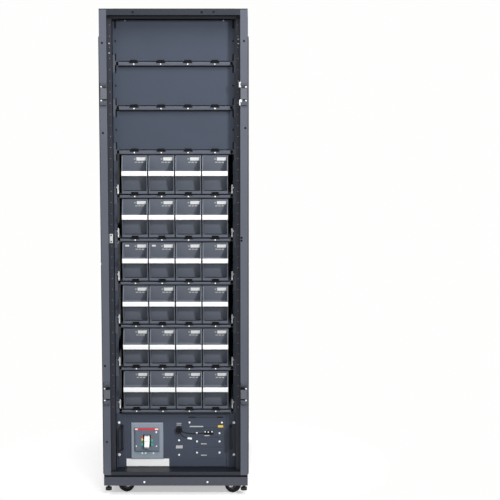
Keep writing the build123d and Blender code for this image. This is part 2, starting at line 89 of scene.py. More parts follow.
# %% World
BACKDROP = (0.99, 0.995, 0.985)
AMBIENT_TINT = (0.97, 0.985, 1)
AMBIENT = 0.2


def link(tree, source, target):
    """Joins two sockets of a node tree."""
    tree.links.new(source, target)


world = bpy.data.worlds.new("studio")
scene.world = world
world.use_nodes = True
sky = world.node_tree
sky.nodes.clear()
seen = sky.nodes.new("ShaderNodeBackground")
seen.inputs["Color"].default_value = (*BACKDROP, 1)
ambient = sky.nodes.new("ShaderNodeBackground")
ambient.inputs["Color"].default_value = (*AMBIENT_TINT, 1)
ambient.inputs["Strength"].default_value = AMBIENT
ray = sky.nodes.new("ShaderNodeLightPath")
camera_or_glossy = sky.nodes.new("ShaderNodeMath")
camera_or_glossy.operation = "MAXIMUM"
any_clear = sky.nodes.new("ShaderNodeMath")
any_clear.operation = "MAXIMUM"
pick = sky.nodes.new("ShaderNodeMixShader")
world_out = sky.nodes.new("ShaderNodeOutputWorld")
link(sky, ray.outputs["Is Camera Ray"], camera_or_glossy.inputs[0])
link(sky, ray.outputs["Is Glossy Ray"], camera_or_glossy.inputs[1])
link(sky, camera_or_glossy.outputs[0], any_clear.inputs[0])
link(sky, ray.outputs["Is Transmission Ray"], any_clear.inputs[1])
link(sky, any_clear.outputs[0], pick.inputs[0])
link(sky, ambient.outputs[0], pick.inputs[1])
link(sky, seen.outputs[0], pick.inputs[2])
link(sky, pick.outputs[0], world_out.inputs[0])
print("ambient light", AMBIENT)

# %% Soft boxes
# Where each stands, the length of its side in metres and its power in watts
SOFT_BOXES = {
    "key": ((2.7, -4.3, 2.7), 0.55, 171),
    "fill": ((-3.4, -4.6, 2.4), 3.0, 34),
    "bounce": ((0.5, -3.0, 0.15), 2.0, 5),
    "rear": ((-1.2, 5.0, 3.0), 2.5, 190),
    "top": ((0.5, -2.4, 3.9), 1.8, 84),
}
AIM = Vector((0, 0, 1.0))
for title, (place, size, power) in SOFT_BOXES.items():
    lamp = bpy.data.lights.new(title, "AREA")
    lamp.shape = "SQUARE"
    lamp.size = size
    lamp.energy = power
    holder = bpy.data.objects.new(title, lamp)
    holder.location = place
    holder.rotation_euler = (AIM - Vector(place)).to_track_quat("-Z", "Y").to_euler()
    scene.collection.objects.link(holder)
    print("soft box", title, power, "W")

# %% Floor
FLOOR_HALF = 6.0
FLOOR_NEAR = 0.5
FLOOR_FAR = 0.95
FLOOR_LIFT = 0.45
PAPER = (0.93, 0.93, 0.92)

shape = bmesh.new()
bmesh.ops.create_grid(shape, x_segments=1, y_segments=1, size=FLOOR_HALF)
floor_mesh = bpy.data.meshes.new("floor")
shape.to_mesh(floor_mesh)
shape.free()
floor = bpy.data.objects.new("floor", floor_mesh)
scene.collection.objects.link(floor)
paper = bpy.data.materials.new("floor_paper")
paper.use_nodes = True
tree = paper.node_tree
paper_face = tree.nodes["Principled BSDF"]
paper_face.inputs["Base Color"].default_value = (*PAPER, 1)
paper_face.inputs["Roughness"].default_value = 0.9
paper_face.inputs["Specular IOR Level"].default_value = 0.0
paper_face.inputs["Emission Color"].default_value = (1, 1, 1, 1)
floor_ray = tree.nodes.new("ShaderNodeLightPath")
lift = tree.nodes.new("ShaderNodeMath")
lift.operation = "MULTIPLY"
lift.inputs[1].default_value = FLOOR_LIFT
link(tree, floor_ray.outputs["Is Camera Ray"], lift.inputs[0])
link(tree, lift.outputs[0], paper_face.inputs["Emission Strength"])
coords = tree.nodes.new("ShaderNodeTexCoord")
reach = tree.nodes.new("ShaderNodeVectorMath")
reach.operation = "LENGTH"
fade = tree.nodes.new("ShaderNodeMapRange")
fade.interpolation_type = "SMOOTHSTEP"
fade.inputs["From Min"].default_value = FLOOR_NEAR
fade.inputs["From Max"].default_value = FLOOR_FAR
clear = tree.nodes.new("ShaderNodeBsdfTransparent")
blend_out = tree.nodes.new("ShaderNodeMixShader")
link(tree, coords.outputs["Object"], reach.inputs[0])
link(tree, reach.outputs["Value"], fade.inputs["Value"])
link(tree, fade.outputs["Result"], blend_out.inputs[0])
link(tree, paper_face.outputs[0], blend_out.inputs[1])
link(tree, clear.outputs[0], blend_out.inputs[2])
link(tree, blend_out.outputs[0], tree.nodes["Material Output"].inputs["Surface"])
floor_mesh.materials.append(paper)
print("floor fades from", FLOOR_NEAR, "to", FLOOR_FAR, "m")

# %% [markdown]
# ## Finishes
# Each finish is a small node tree on Object coordinates, so a pattern stays in real scale on every
# sheet. A first helper makes the shader and its fine grain, because paint, moulded plastic, plated
# steel and rubber all need a bump, a slight change of tone and a slight change of gloss.

# %% Grain shared by all finishes
SPECULAR = 0.22
GLOSS_DRIFT = 0.06


def grained(title, colour, rough, grain, height, tone=0.10, metal=0.0, stretch=(1, 1, 1), patch=7.0):
    """A shader with bump and gloss in a noise of `grain` per metre, and tone in one of `patch`."""
    finish = bpy.data.materials.new(title)
    finish.use_nodes = True
    tree = finish.node_tree
    face = tree.nodes["Principled BSDF"]
    face.inputs["Metallic"].default_value = metal
    face.inputs["Specular IOR Level"].default_value = SPECULAR
    place = tree.nodes.new("ShaderNodeTexCoord")
    turn = tree.nodes.new("ShaderNodeMapping")
    turn.inputs["Scale"].default_value = stretch
    link(tree, place.outputs["Object"], turn.inputs["Vector"])
    fine = tree.nodes.new("ShaderNodeTexNoise")
    fine.inputs["Scale"].default_value = grain
    fine.inputs["Detail"].default_value = 2.0
    link(tree, turn.outputs[0], fine.inputs["Vector"])
    bump = tree.nodes.new("ShaderNodeBump")
    bump.inputs["Strength"].default_value = 0.35
    bump.inputs["Distance"].default_value = height
    link(tree, fine.outputs["Fac"], bump.inputs["Height"])
    link(tree, bump.outputs[0], face.inputs["Normal"])
    broad = tree.nodes.new("ShaderNodeTexNoise")
    broad.inputs["Scale"].default_value = patch
    broad.inputs["Detail"].default_value = 4.0
    link(tree, turn.outputs[0], broad.inputs["Vector"])
    shade = tree.nodes.new("ShaderNodeMix")
    shade.data_type = "RGBA"
    shade.inputs["A"].default_value = (*[c * (1 - tone) for c in colour], 1)
    shade.inputs["B"].default_value = (*[min(1, c * (1 + tone)) for c in colour], 1)
    link(tree, broad.outputs["Fac"], shade.inputs["Factor"])
    link(tree, shade.outputs["Result"], face.inputs["Base Color"])
    gloss = tree.nodes.new("ShaderNodeMapRange")
    gloss.inputs["To Min"].default_value = rough - GLOSS_DRIFT
    gloss.inputs["To Max"].default_value = rough + GLOSS_DRIFT
    link(tree, fine.outputs["Fac"], gloss.inputs["Value"])
    link(tree, gloss.outputs["Result"], face.inputs["Roughness"])
    return finish


# %% [markdown]
# ## Paint with worn and highlit edges
# The enclosure has a fine textured dark paint that is a little paler along its folds: partly wear where
# the paint is thin, partly a painted highlight where the rounded folds catch the light. The Bevel node
# gives a normal that leans over near an edge, and its angle to the true normal makes the mask for that
# paler line, whatever the mesh looks like.

# %% Edge wear and painted highlight


def edge_wear_and_highlight(finish, pale, radius=0.0016):
    """Adds a paler line along the edges of a grained finish, for wear and a painted highlight."""
    tree = finish.node_tree
    face = tree.nodes["Principled BSDF"]
    before = face.inputs["Base Color"].links[0].from_socket
    lean = tree.nodes.new("ShaderNodeBevel")
    lean.samples = 4
    lean.inputs["Radius"].default_value = radius
    true_face = tree.nodes.new("ShaderNodeNewGeometry")
    angle = tree.nodes.new("ShaderNodeVectorMath")
    angle.operation = "DOT_PRODUCT"
    link(tree, lean.outputs[0], angle.inputs[0])
    link(tree, true_face.outputs["True Normal"], angle.inputs[1])
    mask = tree.nodes.new("ShaderNodeMapRange")
    mask.inputs["From Min"].default_value = 0.99
    mask.inputs["From Max"].default_value = 0.75
    mask.inputs["To Max"].default_value = 0.7
    link(tree, angle.outputs["Value"], mask.inputs["Value"])
    mix = tree.nodes.new("ShaderNodeMix")
    mix.data_type = "RGBA"
    mix.inputs["B"].default_value = (*pale, 1)
    link(tree, mask.outputs["Result"], mix.inputs["Factor"])
    link(tree, before, mix.inputs["A"])
    link(tree, mix.outputs["Result"], face.inputs["Base Color"])
    return finish


# %% Paints and moulded plastic
PAINT_BUMP = 0.0003
# Colour, roughness, grain per metre, and the paler colour along the edges for wear and painted highlight
PAINTS = {
    "cabinet_paint": ((0.074, 0.081, 0.102), 0.46, 900, (0.13, 0.14, 0.165)),
    "hinge_paint": ((0.125, 0.132, 0.152), 0.46, 900, (0.19, 0.2, 0.22)),
    # The side panels are the cabinet's own paint made darker, a painted shade for sides turned away from the lamps
    "side_painted_shade": ((0.034, 0.037, 0.048), 0.46, 900, (0.08, 0.086, 0.105)),
    "roof_paint": ((0.016, 0.018, 0.024), 0.56, 900, (0.03, 0.033, 0.042)),
    "post_paint_and_shade": ((0.098, 0.107, 0.134), 0.44, 900, (0.16, 0.17, 0.195)),
    # The header is the cabinet's own paint made darker, a painted shade
    "header_painted_shade": ((0.022, 0.026, 0.036), 0.44, 900, (0.07, 0.077, 0.095)),
    "skirt_paint": ((0.068, 0.073, 0.092), 0.40, 900, (0.10, 0.11, 0.135)),
    # The shelves are the same black paint made paler, painted light where their round lips catch the lamps
    "shelf_painted_light": ((0.088, 0.099, 0.125), 0.42, 900, (0.16, 0.175, 0.2)),
    "panel_paint": ((0.049, 0.060, 0.086), 0.44, 900, (0.12, 0.135, 0.165)),
    # The module plastic is made paler than it is, a painted reflection of the white floor in the scoops
    "module_plastic": ((0.150, 0.168, 0.206), 0.42, 1500, (0.185, 0.203, 0.238)),
}
finishes = {}
for title, (colour, rough, grain, pale) in PAINTS.items():
    finishes[title] = edge_wear_and_highlight(grained(title, colour, rough, grain, PAINT_BUMP), pale)
print("paints:", ", ".join(PAINTS))

# %% [markdown]
# ## Metals, marks and small plastic parts
# Rolled metal has its grain drawn out along the bar, so its noise is stretched along X. The small
# coloured marks keep one colour with only a slight drift and a faint grain.

# %% Metals and marks
EVEN = (1, 1, 1)
ALONG_X = (0.05, 1, 1)
FINE_BUMP = 0.0001
PLASTIC_GRAIN = 1200
MATT_SPECULAR = 0.1
# Colour, roughness, grain per metre, change of tone, metalness, stretch of the grain, patches per metre
METALS = {
    "zinc": ((0.62, 0.64, 0.64), 0.38, 300, 0.16, 0.8, EVEN, 60),
    "tinned": ((0.74, 0.74, 0.72), 0.42, 260, 0.08, 0.55, ALONG_X, 9),
    "copper": ((0.53, 0.31, 0.22), 0.42, 260, 0.22, 0.75, ALONG_X, 14),
    "bright_screw": ((0.93, 0.93, 0.92), 0.36, 400, 0.05, 0.08, EVEN, 40),
    "dark_screw": ((0.030, 0.030, 0.033), 0.35, 400, 0.10, 0.4, EVEN, 40),
}
for title, (colour, rough, grain, tone, metal, stretch, patch) in METALS.items():
    finishes[title] = grained(title, colour, rough, grain, FINE_BUMP, tone, metal, stretch, patch)

# Colour, roughness and change of tone
PLASTICS = {
    "black_plastic": ((0.012, 0.0125, 0.016), 0.42, 0.10),
    "mesh_paint": ((0.018, 0.019, 0.023), 0.45, 0.10),
    # A flat black for real black parts, and for black plates that stand as painted shade in gaps and holes
    "black_and_painted_shade": ((0.007, 0.007, 0.009), 0.80, 0.20),
    "white_plastic": ((0.84, 0.85, 0.84), 0.35, 0.02),
    "label_paper": ((0.88, 0.89, 0.885), 0.60, 0.015),
    "tyre": ((0.030, 0.030, 0.034), 0.62, 0.12),
    "hub_nylon": ((0.10, 0.10, 0.105), 0.45, 0.08),
    "red_mark": ((0.56, 0.055, 0.065), 0.40, 0.04),
    "green_mark": ((0.03, 0.42, 0.24), 0.40, 0.04),
    "yellow_tag": ((0.80, 0.56, 0.08), 0.40, 0.04),
    "seal_grey": ((0.42, 0.43, 0.45), 0.35, 0.10),
    "grey_print": ((0.33, 0.35, 0.38), 0.50, 0.05),
    "pale_print": ((0.44, 0.45, 0.46), 0.50, 0.05),
    "pale_cover": ((0.62, 0.63, 0.62), 0.45, 0.06),
}
for title, (colour, rough, tone) in PLASTICS.items():
    finishes[title] = grained(title, colour, rough, PLASTIC_GRAIN, FINE_BUMP, tone)
for title in ("black_plastic", "black_and_painted_shade", "mesh_paint", "tyre"):
    face = finishes[title].node_tree.nodes["Principled BSDF"]
    face.inputs["Specular IOR Level"].default_value = MATT_SPECULAR
print("small finishes:", ", ".join([*METALS, *PLASTICS]))

# %% [markdown]
# ## Two tones and painted shade by a limit
# The breaker is one moulding with a paler frame round a darker raised face, and the handle ends in a
# pale lock barrel. The door stops folded into the front posts and the folds behind the front rails are
# painted darker than their fronts, a painted shade for the recesses they lie in. In each one axis
# tells the two colours apart, so a limit on it is enough to paint them. The posts are a mirrored pair,
# so the larger of X and its negative is measured.

# %% Two tones and painted shade by a limit


def beyond(finish, axis, test, limit, colour):
    """Paints what lies past a limit on one axis in a second colour, the same on both sides of X."""
    tree = finish.node_tree
    face = tree.nodes["Principled BSDF"]
    first_tone = face.inputs["Base Color"].links[0].from_socket
    split = tree.nodes.new("ShaderNodeSeparateXYZ")
    mirrored = tree.nodes.new("ShaderNodeVectorMath")
    mirrored.operation = "MAXIMUM"
    turned_over = tree.nodes.new("ShaderNodeVectorMath")
    turned_over.operation = "MULTIPLY"
    turned_over.inputs[1].default_value = (-1, 1, 1)
    place = tree.nodes["Texture Coordinate"].outputs["Object"]
    link(tree, place, turned_over.inputs[0])
    link(tree, place, mirrored.inputs[0])
    link(tree, turned_over.outputs[0], mirrored.inputs[1])
    link(tree, mirrored.outputs[0], split.inputs[0])
    past = tree.nodes.new("ShaderNodeMath")
    past.operation = test
    past.inputs[1].default_value = limit
    link(tree, split.outputs[axis], past.inputs[0])
    second_colour_mix = tree.nodes.new("ShaderNodeMix")
    second_colour_mix.data_type = "RGBA"
    second_colour_mix.inputs["B"].default_value = (*colour, 1)
    link(tree, past.outputs[0], second_colour_mix.inputs["Factor"])
    link(tree, first_tone, second_colour_mix.inputs["A"])
    link(tree, second_colour_mix.outputs["Result"], face.inputs["Base Color"])


BREAKER_BUMP = 0.0002
# Axis, test and limit past which the second colour lies, and that colour
TONES_AND_PAINTED_SHADE = {
    "breaker_grey": ("Y", "LESS_THAN", -0.4525, (0.125, 0.155, 0.2)),
    # The darker door stops of the posts are painted shade of their recess behind the post fronts
    "post_paint_and_shade": ("X", "LESS_THAN", 0.2668, (0.026, 0.028, 0.038)),
    # The deeper folds of the header are darker still, painted shade under it
    "header_painted_shade": ("Y", "GREATER_THAN", -0.5245, (0.008, 0.009, 0.013)),
    "lever_plastic": ("Y", "GREATER_THAN", 0.5325, (0.75, 0.75, 0.73)),
}
breaker_frame = ("breaker_grey", (0.26, 0.3, 0.355), 0.42, PLASTIC_GRAIN, BREAKER_BUMP, 0.05)
finishes["breaker_grey"] = grained(*breaker_frame)
lever = ("lever_plastic", (0.024, 0.025, 0.029), 0.40, PLASTIC_GRAIN, FINE_BUMP)
finishes["lever_plastic"] = grained(*lever)
for title, (axis, test, limit, colour) in TONES_AND_PAINTED_SHADE.items():
    beyond(finishes[title], axis, test, limit, colour)
print("two tones:", ", ".join(TONES_AND_PAINTED_SHADE))

# %% [markdown]
# ## Painted reflection and shade on a module
# The scooped upper half of a module's front is painted paler than the pocket below it: the scoop's colour
# carries a painted reflection of the white floor, and the pocket a painted shade for the bar's shadow.
# The rows repeat at one pitch, so the height is divided by that pitch, and what is left over says
# whether a point lies in the pocket, where the colour is multiplied by that painted shade.

# %% Painted reflection and shade of the module halves
ROW_PITCH = 0.1782
MODULE_BASE = 0.3563
SCOOP_FROM = 0.085
# Painted shade of the bar's shadow, multiplied into the colour of the pocket
POCKET_PAINTED_SHADE = (0.64, 0.65, 0.66)

tree = finishes["module_plastic"].node_tree
face = tree.nodes["Principled BSDF"]
scoop_painted_reflection = face.inputs["Base Color"].links[0].from_socket
height = tree.nodes.new("ShaderNodeSeparateXYZ")
link(tree, tree.nodes["Texture Coordinate"].outputs["Object"], height.inputs[0])
rows_up = tree.nodes.new("ShaderNodeMath")
rows_up.operation = "MULTIPLY_ADD"
rows_up.inputs[1].default_value = 1 / ROW_PITCH
rows_up.inputs[2].default_value = -MODULE_BASE / ROW_PITCH
link(tree, height.outputs["Z"], rows_up.inputs[0])
within_row = tree.nodes.new("ShaderNodeMath")
within_row.operation = "FRACT"
link(tree, rows_up.outputs[0], within_row.inputs[0])
in_pocket = tree.nodes.new("ShaderNodeMath")
in_pocket.operation = "LESS_THAN"
in_pocket.inputs[1].default_value = SCOOP_FROM / ROW_PITCH
link(tree, within_row.outputs[0], in_pocket.inputs[0])
pocket_shading_mix = tree.nodes.new("ShaderNodeMix")
pocket_shading_mix.data_type = "RGBA"
pocket_shading_mix.blend_type = "MULTIPLY"
pocket_shading_mix.inputs["B"].default_value = (*POCKET_PAINTED_SHADE, 1)
link(tree, in_pocket.outputs[0], pocket_shading_mix.inputs["Factor"])
link(tree, scoop_painted_reflection, pocket_shading_mix.inputs["A"])
link(tree, pocket_shading_mix.outputs["Result"], face.inputs["Base Color"])
print("module halves change", SCOOP_FROM, "m above the base")

# %% [markdown]
# ## Circuit board
# A circuit board has rows of copper pads and slightly paler tracks under its green lacquer. A
# brick pattern laid flat on the board gives both, and only a little of it shows.

# %% Board finish
board = grained("board_green", (0.03, 0.17, 0.09), 0.35, 700, FINE_BUMP, tone=0.2, patch=30)
tree = board.node_tree
face = tree.nodes["Principled BSDF"]
lacquer = face.inputs["Base Color"].links[0].from_socket
flat = tree.nodes.new("ShaderNodeMapping")
flat.inputs["Rotation"].default_value = (math.radians(90), 0, 0)
link(tree, tree.nodes["Texture Coordinate"].outputs["Object"], flat.inputs["Vector"])
pads = tree.nodes.new("ShaderNodeTexBrick")
pads.inputs["Color1"].default_value = (0.5, 0.28, 0.14, 1)
pads.inputs["Color2"].default_value = (0.05, 0.27, 0.15, 1)
pads.inputs["Scale"].default_value = 9
pads.inputs["Mortar Size"].default_value = 0.06
link(tree, flat.outputs[0], pads.inputs["Vector"])
link(tree, lacquer, pads.inputs["Mortar"])
tracks = tree.nodes.new("ShaderNodeMix")
tracks.data_type = "RGBA"
tracks.inputs["Factor"].default_value = 0.25
link(tree, lacquer, tracks.inputs["A"])
link(tree, pads.outputs["Color"], tracks.inputs["B"])
link(tree, tracks.outputs["Result"], face.inputs["Base Color"])
finishes["board_green"] = board
print("board finish made")

# %% [markdown]
# ## Painting the CAD nodes
# Each CAD solid gets a finish, and all but the sheets of the rear doors also keep their shape. The
# record already sorts the solids into material slots, so the slot picks the finish, and a few nodes
# get one of their own.

# %% Finish of each node
SLOT_FINISH = {
    "cabinet_black": "cabinet_paint",
    "panel_black": "panel_paint",
    "module_plastic": "module_plastic",
    "zinc": "zinc",
    "tinned_copper": "tinned",
    "copper": "copper",
    "board_green": "board_green",
    "black_plastic": "black_plastic",
    "breaker_grey": "breaker_grey",
    "white_plastic": "white_plastic",
    "caster_tyre": "tyre",
}
OWN_FINISH = {
    "front_post_left": "post_paint_and_shade",
    "front_post_right": "post_paint_and_shade",
    "front_rails": "header_painted_shade",
    "base_cross_rails": "skirt_paint",
    "roof_panel": "roof_paint",
    "top_side_rails": "side_painted_shade",
    "side_panel_left_upper": "side_painted_shade",
    "side_panel_left_lower": "side_painted_shade",
    "side_panel_right_upper": "side_painted_shade",
    "side_panel_right_lower": "side_painted_shade",
    "panel_grips": "black_plastic",
    "module_shelves": "shelf_painted_light",
    "levelling_feet": "dark_screw",
    "door_handle": "lever_plastic",
}
for row in frame["record"]["subparts"]:
    solid = frame["nodes"][row["node"]]
    solid.data.materials.clear()
    finish = OWN_FINISH.get(row["node"], SLOT_FINISH[row["material_slot"]])
    solid.data.materials.append(finishes[finish])

# %% [markdown]
# ## Helpers for new pieces
# Most additions are small plates and turned heads. A plate is a cube scaled to its limits with its
# edges bevelled, and a head is a short profile spun round an axis. Copies of one shape are
# gathered in a single mesh, so that a row of screws is one piece with its place in its vertices.

# %% Plates
SUNK = 0.0004


def bevelled(shape, edges, width, segments=2):
    """Rounds some edges of a bmesh."""
    bmesh.ops.bevel(shape, geom=edges, offset=width, offset_type="OFFSET", segments=segments,
                    profile=0.5, affect="EDGES", material=-1, clamp_overlap=True)


def plate(shape, low, high, round_off=0.0):
    """Adds a box between two corners to a bmesh, its edges bevelled by round_off."""
    low, high = Vector(low), Vector(high)
    verts = bmesh.ops.create_cube(shape, size=1)["verts"]
    bmesh.ops.scale(shape, vec=high - low, verts=verts)
    bmesh.ops.translate(shape, vec=(low + high) / 2, verts=verts)
    if round_off:
        edges = dict.fromkeys(edge for vert in verts for edge in vert.link_edges)
        bevelled(shape, list(edges), round_off)


def centred(x, half, depths, heights):
    """The two corners of a plate centred on x, between two depths and two heights."""
    return (x - half, depths[0], heights[0]), (x + half, depths[1], heights[1])


def proud(face, out):
    """The depths of a plate that stands out of a face and is sunk into it a little."""
    return face - out, face + SUNK


def piece(shape, title, finish, body="cabinet"):
    """Turns a bmesh into a finished object that rides on a body."""
    bmesh.ops.recalc_face_normals(shape, faces=shape.faces)
    mesh = bpy.data.meshes.new(title)
    shape.to_mesh(mesh)
    shape.free()
    mesh.materials.append(finishes[finish])
    made = bpy.data.objects.new(title, mesh)
    scene.collection.objects.link(made)
    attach(made, body)
    print("piece", title, "faces", len(mesh.polygons))
    return made


def plates(title, finish, boxes, round_off=0.0004, body="cabinet"):
    """One piece made of several plates."""
    shape = bmesh.new()
    for low, high in boxes:
        plate(shape, low, high, round_off)
    return piece(shape, title, finish, body)


# %% Turned heads
FACING = {
    "front": Matrix.Rotation(math.radians(90), 4, "X"),
    "rear": Matrix.Rotation(math.radians(-90), 4, "X"),
}


def kept(shape):
    """The bmesh as a mesh that copies can be made of."""
    bmesh.ops.recalc_face_normals(shape, faces=shape.faces)
    mesh = bpy.data.meshes.new("pattern")
    shape.to_mesh(mesh)
    shape.free()
    return mesh


def turned(profile, steps=12, closed=False):
    """A mesh spun round Z from (radius, height) points, a closed profile giving a ring."""
    shape = bmesh.new()
    line = [shape.verts.new((radius, 0, height)) for radius, height in profile]
    ends = zip(line, line[1:] + line[:1]) if closed else zip(line, line[1:])
    edges = [shape.edges.new(pair) for pair in ends]
    bmesh.ops.spin(shape, geom=line + edges, cent=(0, 0, 0), axis=(0, 0, 1), steps=steps,
                   angle=math.tau, use_merge=True)
    bmesh.ops.remove_doubles(shape, verts=shape.verts, dist=1e-6)
    return kept(shape)


def at(places, facing):
    """Where copies go: turned to face one way and moved to each place."""
    return [Matrix.Translation(place) @ FACING[facing] for place in places]


def copies(title, mesh, spots, finish, body="cabinet"):
    """One piece with a copy of a small mesh at each spot."""
    shape = bmesh.new()
    for spot in spots:
        start = len(shape.verts)
        shape.from_mesh(mesh)
        shape.verts.ensure_lookup_table()
        bmesh.ops.transform(shape, matrix=spot, verts=shape.verts[start:])
    return piece(shape, title, finish, body)


# Each profile runs from the middle of the head's back, round its rim, to the middle of its front
pan_head = turned([(0, -0.002), (0.0042, -0.002), (0.0042, 0.0012), (0.0032, 0.0021),
                   (0.0014, 0.0024), (0.0012, 0.0014), (0, 0.0014)])
small_head = turned([(0, -0.001), (0.003, -0.001), (0.003, 0.0008), (0.0022, 0.0014), (0, 0.0016)], 10)
plug = turned([(0, -0.001), (0.0045, -0.001), (0.0045, 0.0004), (0.0034, 0.0007),
               (0.0022, 0.0001), (0, 0.0001)])
socket_head = turned([(0, -0.002), (0.0058, -0.002), (0.0058, 0.0032), (0.0052, 0.0038),
                      (0.0028, 0.0038), (0.0028, 0.0008), (0, 0.0008)])
washer_bolt = turned([(0, -0.001), (0.0105, -0.001), (0.0105, 0.0012), (0.0062, 0.0013),
                      (0.0062, 0.0048), (0, 0.0052)])
wide_head = turned([(0, -0.001), (0.0058, -0.001), (0.0058, 0.0014), (0.0044, 0.0026),
                    (0.0014, 0.0028), (0.0012, 0.0018), (0, 0.0018)])
print("heads ready")

# %% [markdown]
# ## Levels and places from the part
# The frame gives the places of whole nodes. A few rows inside a node repeat at a pitch, and those
# named values are the part's own, in metres.

# %% Places
BOTH_SIDES = (-1, 1)
SHELVES = 9
MODULE_ROWS = 6
BAYS = 4
MODULE_PITCH = 0.109
LIP_LOWEST = 0.3493
LIP_RISE = 0.007
LIP_Y = -0.461
BEZEL_Y = -0.451
BAR_REACH = 0.036
BAR_Z = 0.073
BAR_H = 0.019
SCOOP_TOP_Y = BEZEL_Y - 0.007
SCOOP_TOP_Z = 0.154
SCOOP_RUN = 0.027
FRONT = -0.527
STOP_Y = -0.499
UNIT_Y = -0.444
EAR_Y = -0.449
bay_x = [(place - (BAYS - 1) / 2) * MODULE_PITCH for place in range(BAYS)]
lip_z = [LIP_LOWEST + row * ROW_PITCH for row in range(SHELVES)]
module_lips = lip_z[:MODULE_ROWS]
blank_lips = lip_z[MODULE_ROWS:]
module_z = [z + LIP_RISE for z in module_lips]
print("lips from", lip_z[0], "to", round(lip_z[-1], 3))

# %% [markdown]
# ## White strips on the module bars
# Each battery module has a bar across its front that serves as its handle, and a white strip is
# folded round the face of that bar. A plate whose two long front edges are rounded about as much as
# the bar's own gives that fold, so only those two edges are bevelled.

# %% Module strips
STRIP_HALF = 0.0517
STRIP_OUT = 0.0005
STRIP_BACK = 0.0038
STRIP_LAP = 0.0004
STRIP_FOLD = 0.0032


def long_front_edges(shape, depth, length):
    """The edges that are longer than a length and lie in front of a depth."""
    return [edge for edge in shape.edges if edge.calc_length() > length
            and max(vert.co.y for vert in edge.verts) < depth]


shape = bmesh.new()
plate(shape, *centred(0, STRIP_HALF, (-STRIP_OUT, STRIP_BACK), (-STRIP_LAP, BAR_H + STRIP_LAP)))
bevelled(shape, long_front_edges(shape, 0, STRIP_HALF), STRIP_FOLD, 4)
strip = kept(shape)
strip_places = [(x, BEZEL_Y - BAR_REACH, z + BAR_Z) for z in module_z for x in bay_x]
strip_spots = [Matrix.Translation(place) for place in strip_places]
copies("module_strips", strip, strip_spots, "label_paper")

# %% [markdown]
# ## Painted shade in the seams of the modules
# The photograph shows black lines a few millimetres wide under each bar, along the rim of each pocket
# and between two modules, where shade falls into the gaps of the moulding. Those between two modules
# part one module from the next. Thin black plates that follow the moulding stand for them all as
# painted shade.

# %% Module shadow strips
# Half width, front and back before the bezel, foot and head over the module's base
BAR_SHADOW = (0.0465, 0.033, 0.025, BAR_Z - 0.0030, BAR_Z + 0.0002)
RIM_SHADOW = (0.0440, 0.0132, 0.0105, 0.0108, 0.0138)
SIDE_SHADOWS = (
    (0.0023, 0.0135, 0.0120, 0.002, 0.062),
    (0.0023, 0.0290, 0.0275, 0.062, 0.098),
    (0.0023, 0.0130, 0.0115, 0.098, 0.138),
    (0.0023, 0.0066, 0.0051, 0.138, 0.155),
)


def before_bezel(x, z, half, front, back, foot, head):
    """The corners of a plate before the bezel of the modules."""
    return centred(x, half, (BEZEL_Y - front, BEZEL_Y - back), (z + foot, z + head))


shadow_strips = []
for z in module_z:
    shadow_strips += [before_bezel(x, z, *shadow) for x in bay_x for shadow in (BAR_SHADOW, RIM_SHADOW)]
    shadow_strips += [before_bezel(x, z, *shadow) for x in (-MODULE_PITCH, 0, MODULE_PITCH) for shadow in SIDE_SHADOWS]
# Black plates as painted shade in the gaps under the bars, along the rims and between the modules
plates("module_shadow_strips", "black_and_painted_shade", shadow_strips, round_off=0.0002)

# %% [markdown]
# ## Labels in the scoops
# Above its bar each module is scooped out, and the sloping floor of the scoop carries a small white
# label, a square seal beside it and a row of short pale marks below. They are bare here. Each is a
# thin plate that is made flat and then turned onto the slope.

# %% Scoop labels
LABEL_OUT = 0.0005
LABEL_IN = 0.0003
LABEL_DROP = 0.0135
MARK_X = (0.0045, 0.0175, 0.0305)
MARK_DROP = 0.0272
EXTRA_X = -0.034
EXTRA_DROP = 0.012
EXTRA_MODULES = ((3, 0), (3, 1))

scoop_rise = SCOOP_TOP_Z - BAR_Z - BAR_H
slope = Matrix.Rotation(math.atan2(SCOOP_RUN, scoop_rise), 4, "X")


def flat_label(width, height):
    """A thin plate that faces the front, its middle at the origin."""
    shape = bmesh.new()
    corners = centred(0, width / 2, (-LABEL_OUT, LABEL_IN), (-height / 2, height / 2))
    plate(shape, *corners, round_off=0.0002)
    return kept(shape)


def in_scoops(title, finish, size, across, drop, modules):
    """A label in the scoops: across from a module's middle, drop below the scoop's top edge."""
    spots = []
    for row, place in modules:
        depth = SCOOP_TOP_Y + drop / scoop_rise * SCOOP_RUN
        spot = (bay_x[place] + across, depth, module_z[row] + SCOOP_TOP_Z - drop)
        spots.append(Matrix.Translation(spot) @ slope)
    return copies(title, flat_label(*size), spots, finish)


all_modules = [(row, place) for row in range(MODULE_ROWS) for place in range(BAYS)]
in_scoops("module_labels", "label_paper", (0.038, 0.0145), 0.026, LABEL_DROP, all_modules)
in_scoops("module_seals", "seal_grey", (0.007, 0.007), 0.0, LABEL_DROP, all_modules)
for number, across in enumerate(MARK_X, 1):
    in_scoops(f"module_marks_{number}", "pale_cover", (0.0098, 0.0034), across, MARK_DROP, all_modules)
in_scoops("module_extra_labels", "label_paper", (0.016, 0.008), EXTRA_X, EXTRA_DROP, EXTRA_MODULES)

# %% [markdown]
# ## Shelf lips
# The lip of each shelf ends in a round hem. The photograph shows a black band above it and a thin
# black line below it, shade in the gaps over and under the hem, and black strips stand for both as
# painted shade. A hem is a long plate whose two long front edges are rounded, and on the shelves of
# the blank panels it is taller and the band thinner.

# %% Lip hems and their painted shade
LIP_HALF = 0.2245
HEM_Y = LIP_Y - 0.0036
HEM_FOOT = -0.0108
HEM_ROLL = 0.0034
BAND_TOP = 0.0068
BAND_OUT = 0.0030
LINE_FOOT = -0.0136
LINE_TOP = -0.0106
LINE_OUT = 0.0014
LAP = 0.0002
# Name, levels of the lips, and how far the hem rises over them
HEMS = (("lip_hems", module_lips, 0.0010), ("lip_hems_upper", blank_lips, 0.0050))


